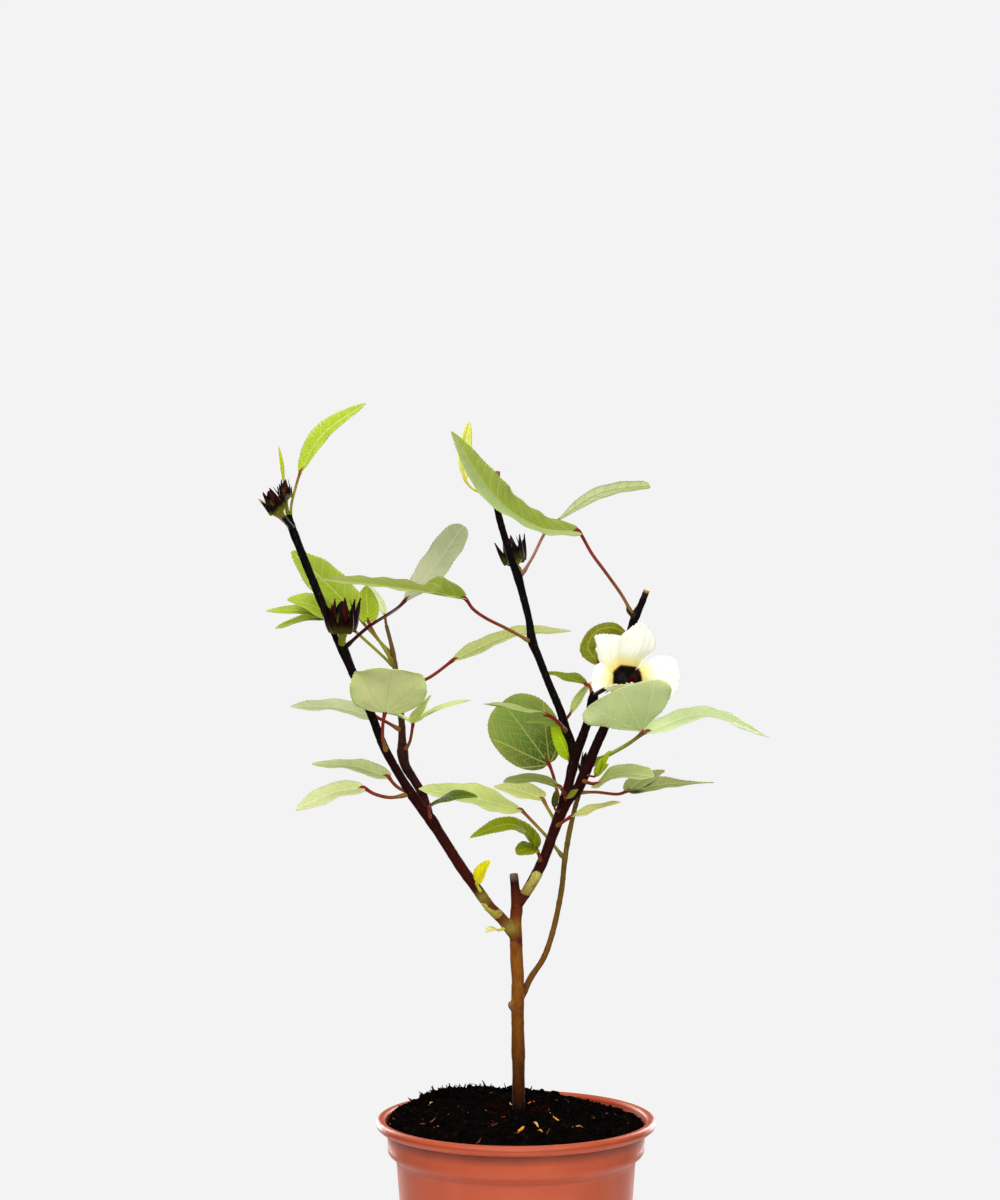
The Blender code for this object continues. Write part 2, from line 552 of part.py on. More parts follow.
def make_soil():
    """The potting soil with the trunk's plain hole and the bark chips that lie in its top."""
    wall = [(radius - GAP, height + GAP) for radius, height in inner_wall()]
    edge = (MOUTH_RADIUS - WALL - GAP, SOIL_EDGE_HEIGHT - 1)
    tops = [(MOUTH_RADIUS - WALL - 1.5, 0), (86, 0), (70, 0), (52, 0), (34, 0), (16, 0)]
    mesh = turned([(0, FLOOR_TOP + GAP)] + wall + [edge] + tops + [(0, 0.001)], POT_SIDES)
    for vertex in mesh.verts:
        if vertex.co.z < 0.002 * MM:
            x, y = vertex.co.x / MM, vertex.co.y / MM
            vertex.co.z = soil_height(x, y) * MM
    bmesh.ops.triangulate(mesh, faces=mesh.faces)
    soil = new_object("soil", mesh, "soil")
    draw = random.Random(7)
    chips = []
    for number in range(CHIPS):
        angle = 2 * math.pi * (number + draw.uniform(-0.4, 0.4)) / CHIPS * 3.236
        radius = 16 + 70 * math.sqrt((number + 0.5) / CHIPS)
        middle = Vector((radius * math.cos(angle), radius * math.sin(angle), 0))
        turn = draw.uniform(0, math.pi)
        along = Vector((math.cos(turn), math.sin(turn), 0)) * draw.uniform(3.5, 6.5)
        thick = draw.uniform(1.1, 1.7)
        path = []
        for share, size in ((-1, 0.5), (0, 1.0), (1, 0.6)):
            point = (middle + along * share).to_4d()
            point.z = soil_height(point.x, point.y) + 0.2
            point.w = thick * size
            path.append(point)
        sections = tube_sections(path, Vector((0, 0, 1)), 4)
        chips.append(new_object("chip", loft(bmesh.new(), sections), "soil"))
    combine(soil, chips)
    top = POT_HEIGHT + MOUND + 20
    foot = TRUNK_FOOT - GAP
    across, up, back, radius = STEMS["trunk"][0]
    radius += GAP
    drill = turned([(0, foot), (radius, foot), (radius, top), (0, top)], HOLE_SIDES)
    hole = new_object("hole", drill, "soil")
    hole.location = (place(across, up, back).x * MM, 0, 0)
    return combine(soil, [hole], "DIFFERENCE")


def stem_path(points):
    """A smooth centre line with the radius in w, its rings about RING_SPACING apart."""
    knots = []
    for across, up, back, radius in points:
        knot = place(across, up, back).to_4d()
        knot.w = radius
        knots.append(knot)
    path = smooth(knots, 4)
    return spaced(path, max(3, round(path_length(path) / RING_SPACING) + 1))


def make_stem():
    """The trunk and its branches, one grown piece."""
    tubes = []
    for name, points in STEMS.items():
        path = stem_path(points)
        path[0].z = max(path[0].z, TRUNK_FOOT)
        sides = BARK_SIDES if points[0][3] > 2.2 else 6
        sections = tube_sections(path, Vector((1, 0, 0)), sides)
        tubes.append(new_object(name, loft(bmesh.new(), sections), "bark"))
    trunk = tubes.pop(0)
    trunk.name = "stem"
    return combine(trunk, tubes)


def surface_of(thing):
    """A search tree of a finished piece, in millimetres."""
    triangles = bmesh.new()
    triangles.from_mesh(thing.data)
    bmesh.ops.scale(triangles, vec=(1 / MM, 1 / MM, 1 / MM), verts=triangles.verts)
    return BVHTree.FromBMesh(triangles)


def is_clear(surface, points):
    """Whether every point lies outside the surface by at least the gap."""
    for point in points:
        spot, normal, _, distance = surface.find_nearest(point)
        if (point - spot).dot(normal) < 0 or distance < GAP:
            return False
    return True


def seated(path, right, radius, size, surface):
    """The path from where its first round section just clears the stem that it grows from."""
    fine = spaced(path, max(8, round(path_length(path) / 0.25)))
    headings = directions(fine)
    rights = carried(fine, right)
    for start in range(len(fine) - 3):
        section = ring(fine[start].xyz, headings[start], rights[start], radius, size)
        if is_clear(surface, section + [fine[start].xyz]):
            return fine[start:]
    return fine[-4:]


def blade_sections(midrib, face, width, outline, draw, rows):
    """Sections of a toothed, waved blade, three points across, from its base to its tip."""
    rise, fall, sweep = outline
    peak = rise / (rise + fall)
    fullest = peak ** rise * (1 - peak) ** fall
    path = spaced(smooth(midrib, 6), rows)
    phase = draw.uniform(0, 6.28)
    sections = []
    for i, (middle, heading) in enumerate(zip(path, directions(path))):
        right = heading.cross(face).normalized()
        up = right.cross(heading)
        t = (i + 0.35) / (rows - 0.65)
        half = width / 2 * (t ** rise * max(1 - t, 0.0) ** fall) / fullest
        if 0 < i < rows - 1:
            half *= 1 + (TOOTH if i % 2 else -TOOTH)
        half = max(half, 0.45)
        back = heading * (sweep * half * (1 - t) ** 3)
        lifts = [half * (0.16 + 0.09 * math.sin(phase + side + 9 * t)) for side in (0.0, 2.2)]
        left = middle - right * half - back + up * lifts[0]
        far = middle + right * half - back + up * lifts[1]
        thick = up * (BLADE_THICKNESS / 2)
        top = [left + thick, middle + thick, far + thick]
        sections.append(top + [far - thick, middle - thick, left - thick])
    return sections


def leaf_mesh(petiole, midrib, face, width, outline, draw, surface):
    """One leaf: a round petiole that opens into the blade."""
    petiole = [place(*point) for point in petiole]
    midrib = [place(*point) for point in midrib]
    face = Vector(face).normalized()
    length = path_length(midrib)
    rows = min(max(round(length / 7), 5), 11)
    blade = blade_sections(midrib, face, width, outline, draw, rows)
    stalk = smooth(petiole + midrib[:2], 4)[:-4]
    right = (midrib[1] - midrib[0]).cross(face).normalized()
    radius = min(PETIOLE_RADIUS, 0.5 + width / 25)
    back_rights = carried(stalk[::-1], right)
    stalk = seated(stalk, back_rights[-1], radius, 6, surface)
    count = min(max(round(path_length(stalk) / 9) + 2, 3), 6)
    stalk = spaced(stalk, count)
    rights = carried(stalk[::-1], right)[::-1]
    headings = directions(stalk)
    sections = []
    for point, heading, side in list(zip(stalk, headings, rights))[:-1]:
        sections.append(ring(point, heading, side, radius, 6))
    return loft(bmesh.new(), sections + blade)


def make_leaf(name, petiole, midrib, face, width, outline, look, surface):
    mesh = leaf_mesh(petiole, midrib, face, width, outline, random.Random(name), surface)
    return new_object(name, mesh, look)


def make_lobed_leaf(name, petiole, base, lobes, face, look, surface):
    """A leaf cut into lobes that share one base."""
    draw = random.Random(name)
    first = None
    others = []
    facing = Vector(face).normalized()
    for number, (lobe, width, outline) in enumerate(lobes):
        if number == 0:
            mesh = leaf_mesh(petiole, [base] + lobe, face, width, outline, draw, surface)
            first = new_object(name, mesh, look)
            continue
        midrib = [place(*point) for point in [base] + lobe]
        tilt = Vector((0.05 * number, 0.03 * number, 0))
        midrib[0] += (midrib[0] - midrib[1]).normalized() * 1.5
        sections = blade_sections(midrib, (facing + tilt).normalized(), width, outline, draw, 5)
        others.append(new_object("lobe", loft(bmesh.new(), sections), look))
    return combine(first, others)


def spike(root, heading, length, width, bend):
    """A narrow pointed bract with a flat four-sided section that bends towards `bend`."""
    path = []
    for share, size in ((0.0, 0.8), (0.5, 1.0), (1.0, 0.3)):
        point = (root + heading * (length * share) + bend * (length * share * share * 0.35)).to_4d()
        point.w = width * size / 2
        path.append(point)
    return loft(bmesh.new(), tube_sections(path, heading.cross(Vector((0.3, 0.2, 1))), 4))


def bud_axis(stalk, tip):
    """The stalk's points, and the axis of the cup from its end to the bud's tip."""
    stalk = [place(*point) for point in stalk]
    tip = place(*tip)
    return stalk, stalk[-1], tip - stalk[-1]


def cup_profile(length, radius):
    """A closed calyx round its axis, as (distance along, radius) points."""
    return [(0.0, 0.3 * radius), (0.12 * length, 0.72 * radius), (0.34 * length, 0.95 * radius),
            (0.58 * length, 0.70 * radius), (0.80 * length, 0.42 * radius), (0.96 * length, 0.12 * radius)]


def make_bud(name, stalk, tip, radius, bracts, surface):
    """A closed bud on a short stalk in its ring of pointed bracts."""
    stalk, base, axis = bud_axis(stalk, tip)
    length = axis.length
    heading = axis.normalized()
    right = heading.cross(Vector((0, 1, 0.2))).normalized()
    lead = spaced(stalk + [base + heading * 0.5], 12)
    lead = seated(lead, right, 0.3 * radius, 8, surface)
    path = []
    for point in (lead[0], lead[len(lead) // 2]):
        point = point.to_4d()
        point.w = 0.3 * radius
        path.append(point)
    for along, size in cup_profile(length, radius):
        point = (base + heading * (along + 1.5)).to_4d()
        point.w = size
        path.append(point)
    cup = new_object(name, loft(bmesh.new(), tube_sections(path, right, 8)), "bud")
    up = right.cross(heading)
    spikes = []
    for k in range(bracts):
        angle = 2 * math.pi * k / bracts + 0.3
        outward = right * math.cos(angle) + up * math.sin(angle)
        root = base + heading * (0.16 * length + 1.5) + outward * (0.6 * radius)
        lean = (heading + outward * (0.5 + 0.14 * math.sin(2.4 * k))).normalized()
        mesh = spike(root, lean, 0.7 * length, 0.34 * radius, heading * 0.6)
        spikes.append(new_object("bract", mesh, "bud"))
    return combine(cup, spikes)


def flower_frame():
    """The flower's axis: where its calyx starts, its throat, and its heading."""
    base = place(*CALYX_BASE)
    throat = place(*EYE_OF_FLOWER)
    heading = (throat - base).normalized()
    return base, throat, heading


def make_calyx(surface):
    """The flower's stalk, its calyx cup, the calyx lobes and the outer bracts."""
    base, throat, heading = flower_frame()
    stalk = [place(*point) for point in PEDICEL] + [base]
    right = heading.cross(Vector((0, 0, 1))).normalized()
    lead = spaced(seated(smooth(stalk, 6), right, 1.7, 8, surface), 6)
    depth = (throat - base).length - CALYX_END
    path = []
    for point in lead:
        point = point.to_4d()
        point.w = 1.7
        path.append(point)
    for share, size in ((0.15, 0.55), (0.4, 0.9), (0.7, 1.0), (1.0, 0.55)):
        point = (base + heading * (depth * share)).to_4d()
        point.w = CALYX_RADIUS * size
        path.append(point)
    calyx = new_object("flower_calyx", loft(bmesh.new(), tube_sections(path, right, 10)), "calyx")
    up = right.cross(heading)
    spikes = []
    for k in range(SEPALS + BRACTS):
        lobe = k < SEPALS
        angle = 2 * math.pi * (k / SEPALS if lobe else (k - SEPALS + 0.4) / BRACTS)
        outward = right * math.cos(angle) + up * math.sin(angle)
        root = base + heading * (depth * (0.4 if lobe else 0.2)) + outward * (CALYX_RADIUS * 0.5)
        lean = (outward - heading * 0.4).normalized()
        size = (11, 5.0) if lobe else (10, 2.2)
        spikes.append(new_object("lobe", spike(root, lean, *size, -heading * 0.3), "calyx"))
    return combine(calyx, spikes)


def petal_sections(root, tip, facing, width, skew):
    """A broad petal, five points across, narrow at its root, with a waved outer edge."""
    middle = root.lerp(tip, 0.55) - facing * 1.5
    path = spaced(smooth([root, middle, tip], 6), 7)
    shares = (0.16, 0.34, 0.66, 0.92, 1.0, 0.86, 0.45)
    sections = []
    for i, (centre, heading) in enumerate(zip(path, directions(path))):
        right = heading.cross(facing).normalized()
        right = (right + facing * skew).normalized()
        up = right.cross(heading)
        half = width / 2 * shares[i]
        top = []
        for column in (-1.0, -0.5, 0.0, 0.5, 1.0):
            droop = heading * (half * 0.22 * column * column * (i / 6))
            wave = up * (half * 0.07 * math.sin(4.5 * column + 1.7 * i))
            lift = up * (half * 0.18 * column * column)
            top.append(centre + right * (half * column) - droop + lift + wave)
        thick = up * (PETAL_THICKNESS / 2)
        sections.append([p + thick for p in top] + [p - thick for p in top[::-1]])
    return sections


def make_petals():
    """The corolla: five petals that overlap in a ring and join at the throat."""
    _, throat, heading = flower_frame()
    start = throat - heading * (CALYX_END - GAP)
    right = heading.cross(Vector((0, 0, 1))).normalized()
    path = []
    for along, size in ((0.0, 5.0), (EYE_DEPTH, 5.6)):
        point = (start + heading * along).to_4d()
        point.w = size
        path.append(point)
    disc = new_object("flower_petals", loft(bmesh.new(), tube_sections(path, right, 10)), "petal")
    petals = []
    for tip, width in PETALS:
        tip = place(*tip)
        outward = tip - throat
        outward = (outward - heading * outward.dot(heading)).normalized()
        root = start + heading * 1.2 + outward * 2.0
        sections = petal_sections(root, tip, heading, width, 0.22)
        petals.append(new_object("petal", loft(bmesh.new(), sections), "petal"))
    return combine(disc, petals)


def make_column():
    """The flower's stamen column, with its anthers and the five-parted stigma."""
    _, throat, heading = flower_frame()
    start = throat - heading * (CALYX_END - EYE_DEPTH - 2 * GAP)
    right = heading.cross(Vector((0, 0, 1))).normalized()
    up = right.cross(heading)
    path = []
    for along, size in ((0, 1.5), (3, 1.3), (6, 1.1), (9, 0.8)):
        point = (start + heading * along).to_4d()
        point.w = size
        path.append(point)
    column = new_object("flower_column", loft(bmesh.new(), tube_sections(path, right, 6)), "column")
    parts = []
    for k in range(ANTHERS):
        angle = 2.4 * k
        outward = right * math.cos(angle) + up * math.sin(angle)
        root = start + heading * (2.4 + 0.7 * k) + outward * 0.5
        lean = (outward + heading * 0.3).normalized()
        parts.append(new_object("anther", spike(root, lean, 3.0, 1.3, heading), "column"))
    return combine(column, parts)


def build():
    clear_scene()
    pieces = [make_pot(), make_soil()]
    stem = make_stem()
    surface = surface_of(stem)
    pieces.append(stem)
    for name, leaf in LEAVES.items():
        pieces.append(make_leaf(name, *leaf, surface))
    for name, leaf in LOBED_LEAVES.items():
        pieces.append(make_lobed_leaf(name, *leaf, surface))
    for name, bud in BUDS.items():
        pieces.append(make_bud(name, *bud, surface))
    pieces += [make_calyx(surface), make_petals(), make_column()]
    holder = bpy.data.objects.new("potted_hibiscus", None)
    bpy.context.scene.collection.objects.link(holder)
    for piece in pieces:
        piece.parent = holder


build()
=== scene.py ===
"""The looks of a potted roselle hibiscus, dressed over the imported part.

Lengths are in millimetres and become metres when a mesh is made. A place on the plant is (across, up,
back), as in the part's source: where a level front view shows the point in the plane of the pot's
axis, and how far behind that plane it lies. Each fine piece keeps the form of the node it replaces.
"""

import math
import random

import bpy
import numpy as np
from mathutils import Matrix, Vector, noise
from mathutils.kdtree import KDTree


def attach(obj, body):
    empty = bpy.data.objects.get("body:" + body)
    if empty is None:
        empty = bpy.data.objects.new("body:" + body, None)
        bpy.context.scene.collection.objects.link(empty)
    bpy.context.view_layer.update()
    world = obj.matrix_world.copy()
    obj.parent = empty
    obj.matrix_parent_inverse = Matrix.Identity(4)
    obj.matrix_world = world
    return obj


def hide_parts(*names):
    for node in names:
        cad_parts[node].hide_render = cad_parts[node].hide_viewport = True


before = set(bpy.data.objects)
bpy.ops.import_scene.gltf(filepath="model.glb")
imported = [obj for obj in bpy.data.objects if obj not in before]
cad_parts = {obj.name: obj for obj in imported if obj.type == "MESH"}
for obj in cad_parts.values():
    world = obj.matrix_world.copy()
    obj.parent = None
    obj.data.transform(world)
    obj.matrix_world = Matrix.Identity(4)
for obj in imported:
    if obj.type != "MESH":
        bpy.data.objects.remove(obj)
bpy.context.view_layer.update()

# Metres in a millimetre
MM = 0.001

# The front view's eye and lens
EYE_X, EYE_DISTANCE, EYE_Z = -12.0, 1880.0, 557.0
LENS, SENSOR = 75.0, 36.0

# The studio
BACKDROP = (243, 243, 243)
AMBIENT = 0.16
FLOOR_RADIUS = 430.0
FLOOR_SIDES = 96
FADE_START, FADE_END = 87.5, 412.8
# Each light's place and what it looks at (metres), its width and height, and its power in watts
LIGHTS = {
    "key": ((-0.9, -1.5, 1.8), (0, 0, 0.4), (1.0, 1.0), 19),
    "fill": ((1.1, -1.5, 1.6), (0, 0, 0.4), (1.0, 1.0), 13),
    "front": ((0.0, -2.4, 0.7), (0, 0, 0.4), (1.4, 0.9), 24),
    "top": ((0.0, 0.1, 2.1), (0, 0, 0.4), (1.2, 1.2), 14),
    "left_rim": ((-1.0, 1.6, 0.5), (0, 0, 0.3), (0.5, 1.6), 30),
    "right_rim": ((1.0, 1.6, 0.5), (0, 0, 0.3), (0.5, 1.6), 30),
}

# The pot, as in the part
POT_HEIGHT = 168.5
RIM_RADIUS = 105.0
MOUTH_RADIUS = 98.0
LIP_DEPTH = 8.2
LIP_UNDER = POT_HEIGHT - LIP_DEPTH
NECK_RADIUS = 96.4
STEP_HEIGHT = 138.0
SHOULDER_RADIUS = 90.0
BASE_RADIUS = 78.0
WALL = 1.8
FLOOR_TOP = 4.3
CHANNEL_HEIGHT = 2.5
CHANNEL_INNER, CHANNEL_OUTER = 42.0, 66.0
DRAIN_RADIUS = 4.5
DRAINS = 5
POT_SIDES = 180

# The soil
SOIL_EDGE_HEIGHT = 162.5
MOUND = 12.0
SOIL_GAP = 0.4
SOIL_SIDES, SOIL_RINGS = 300, 96
SOIL_TINT = (0.0035, 0.0028, 0.0027)
# Heaps of soil: their (x, y), their spread each way and their height
HEAPS = ((-6, 66, 50, 22, 6.5), (-56, 70, 28, 22, 6.0))
# Heaps at the brim: the turn of their middle and their spread, in degrees, and their height
BRIM_HEAPS = ((158, 24, 6.2), (88, 22, 2.2))
GRANULES = 2600
LOOSE_CHIPS, NEEDLES, FIBRES, SHARDS = 26, 18, 420, 170
LITTER_LIMIT = 92.0
GOLD, STRAW, RUST = (255, 168, 34), (255, 206, 108), (168, 66, 20)

# The plant
BARK_SIDES = 18
BARK_VOXEL = 0.66
TRUNK_FOOT = 118.0
# Below this height the bark is old, and tinted at the foot of each leaf
OLD_WOOD_TOP = 346.0
NODE_TINT = (150, 140, 58)
SCAR_RIDGE, SCAR_GROOVE = 0.20, 0.10
LOOP_STEP = 0.9
PETIOLE_RADIUS, PETIOLE_SIDES = 1.3, 10
STALK_FINISH = 1

# A blade: the length of a row, a tooth's rows and its reach, then the thickness of the sheet, the
# height of the midrib and of the side veins, and the bulge between side veins
ROW = 0.72
TOOTH_ROWS, TOOTH = 4, 0.62
SHEET, MIDRIB, SIDE_VEIN, BULGE = 0.30, 0.75, 0.16, 0.30
# The angle between the main veins of a palmate blade
FAN_ANGLE = math.radians(30)

# Blade outlines: how fast the half width rises at the base and falls to the tip, and how far the
# base lobes sweep back, as a share of the half width
OVATE = (0.45, 0.75, 0.25)
LANCE = (0.60, 0.80, 0.05)
ROUND = (0.42, 0.50, 0.30)
OBLONG = (0.35, 0.45, 0.15)
OBOVATE = (0.78, 0.44, 0.0)
BLUNT = (0.80, 0.32, 0.0)
FAN = (1.30, 0.42, 0.0)
TAILED = (0.55, 1.9, 0.1)
BROAD = (0.40, 0.85, 0.05)
DISC = (0.50, 0.44, 0.06)

# Centre lines of the stems and resting buds, as (across, up, back, radius), each from inside its parent
STEMS = {
    "trunk": [
        (1.9, 118, 0, 5.2), (1.9, 150, 0, 5.1), (1.9, 178, 0, 4.9), (1.9, 207, 0, 4.8),
        (1.7, 218, 0, 5.3), (1.4, 235, 0, 4.8), (1.2, 250, 0, 5.0), (1.4, 272, 0, 4.8),
        (0.5, 286, 0, 4.9), (0, 304, 0, 4.8), (-0.4, 314, 0, 4.7), (0.6, 327, 0, 4.5),
        (-0.4, 338, 0, 3.7), (-1.7, 351.4, 0, 3.2),
    ],
    "left": [
        (1.0, 301, 0, 3.6), (-9.5, 316, -3, 4.2), (-19.3, 326, -6, 4.1), (-28.8, 339, -9, 4.0),
        (-41.2, 356, -14, 4.1), (-55.6, 378.6, -19, 4.0), (-64.2, 392, -23, 4.3),
        (-72.0, 402, -25, 4.0), (-81.2, 415, -28, 3.5), (-93.2, 435, -31, 3.2),
        (-100.4, 449, -33, 3.3), (-109.2, 472, -36, 3.2), (-119.6, 495, -38, 3.1),
        (-131, 522, -40, 3.8), (-143.5, 549, -41, 3.2), (-152.4, 570.6, -42, 3.1),
        (-160.2, 590, -43, 3.1), (-168, 610, -44, 3.0), (-171.4, 621, -44, 2.6),
    ],
    "inner": [
        (-62, 386, -20, 2.6), (-69.5, 409, -10, 3.3), (-76.2, 421, -2, 3.3), (-83.0, 432, 5, 3.7),
        (-85.2, 442, 9, 4.2), (-85.6, 453, 13, 3.0), (-86, 466, 16, 2.6), (-88.4, 485, 22, 2.5),
        (-90.5, 504, 27, 2.2), (-93.2, 521, 31, 1.8), (-97.5, 538, 35, 1.4),
    ],
    "right": [
        (0.4, 326, 0, 3.6), (11.8, 344, 4, 4.3), (17.0, 354, 5, 4.1), (22.0, 365, 7, 4.0),
        (28.3, 382.5, 10, 4.0), (34.2, 398, 13, 4.3), (39.2, 407, 13, 4.2), (46.8, 415.5, 11, 4.1),
        (51.0, 425, 9, 4.0), (56.8, 439, 6, 3.8), (61.9, 451, 4, 3.7), (66.4, 461, 3, 3.6),
        (73, 480, 3, 3.4), (79.8, 508, 4, 3.1), (86, 534, 5, 2.8), (90.6, 546.5, 6, 3.3),
        (93.9, 553, 6, 2.7), (98.4, 564.5, 6, 2.5),
    ],
    "fork": [
        (31, 392, 12, 3.2), (38.5, 414, 16, 3.7), (42.3, 430, 19, 3.8), (45.8, 443, 20, 4.0),
        (50.4, 455, 18, 3.5), (55.0, 469, 16, 3.4), (57.9, 482, 12, 3.9), (59.2, 487.5, 10, 2.6),
    ],
    "middle": [
        (43.4, 437, 19.5, 3.0), (41.4, 450, 24, 3.3), (37.4, 460, 27, 3.4), (33.2, 474, 31, 3.2),
        (24.4, 495, 35, 3.0), (17.0, 514, 38, 3.1), (12.2, 526, 40, 3.5), (9.8, 542, 41, 2.9),
        (5.6, 559, 42, 3.0), (1.3, 575, 42, 3.4), (-2.9, 586, 43, 3.0), (-7.8, 602, 43, 2.8),
        (-13.3, 622, 43, 2.7), (-15.8, 640, 43, 2.5), (-13.4, 654, 43, 2.0),
    ],
    "back": [
        (1.5, 251, 0, 2.0), (6.4, 263, 5, 2.6), (11.4, 273.5, 9, 2.4), (19.8, 286, 16, 2.3),
        (24.8, 298, 21, 2.3), (29.8, 316, 28, 2.2), (34.4, 340, 33, 2.2), (36.5, 360, 37, 2.1),
        (39.5, 379, 40, 2.2), (42.3, 392, 42, 2.0), (45, 403, 43, 1.9), (48.5, 414, 42, 1.7),
    ],
    "lower_bud": [(-14, 321, -5, 2.0), (-22, 324.5, -7, 1.7), (-23.5, 328, -7, 0.9)],
    "trunk_bud": [(1.5, 246, 0, 1.8), (-4.2, 251, -1, 1.6), (-5.0, 255, -1, 0.8)],
    "right_bud": [(7, 337, 2, 2.0), (13.5, 344.5, 1, 1.7), (15.5, 349, 1, 0.9)],
    "top_bud": [(88.6, 545, 6, 2.0), (84.4, 549, 2, 1.6), (83.6, 553, 1, 0.8)],
}

# Bark colours (sRGB) by height on each stem
BARK = {
    "trunk": [
        (118, (14, 7, 6)), (174, (16, 8, 6)), (186, (64, 30, 10)), (215, (104, 60, 16)),
        (250, (130, 76, 24)), (290, (138, 82, 28)), (320, (110, 46, 20)), (345, (44, 16, 12)),
        (351, (120, 112, 98)),
    ],
    "left": [
        (301, (96, 40, 22)), (322, (100, 44, 22)), (340, (70, 20, 12)), (380, (52, 14, 11)),
        (420, (36, 9, 9)), (460, (14, 7, 8)), (621, (10, 6, 7)),
    ],
    "inner": [(386, (60, 22, 18)), (430, (40, 20, 18)), (470, (70, 40, 28)), (538, (110, 90, 50))],
    "right": [
        (326, (80, 30, 16)), (348, (56, 16, 11)), (380, (50, 13, 11)), (410, (44, 12, 11)),
        (440, (30, 9, 9)), (480, (14, 7, 8)), (556, (12, 7, 8)), (562, (40, 26, 18)), (564, (190, 150, 96)),
    ],
    "fork": [(392, (46, 12, 11)), (440, (28, 9, 9)), (487, (14, 8, 9))],
    "middle": [(437, (26, 8, 9)), (480, (10, 6, 7)), (648, (12, 6, 8)), (654, (150, 110, 70))],
    "back": [(251, (112, 68, 26)), (300, (114, 76, 28)), (350, (108, 84, 32)), (385, (124, 104, 44)),
             (414, (92, 60, 28))],
    "lower_bud": [(321, (150, 135, 60)), (328, (200, 200, 90))],
    "trunk_bud": [(246, (120, 60, 26)), (255, (150, 110, 60))],
    "right_bud": [(337, (140, 120, 60)), (349, (190, 180, 90))],
    "top_bud": [(545, (40, 24, 22)), (553, (70, 60, 40))],
}

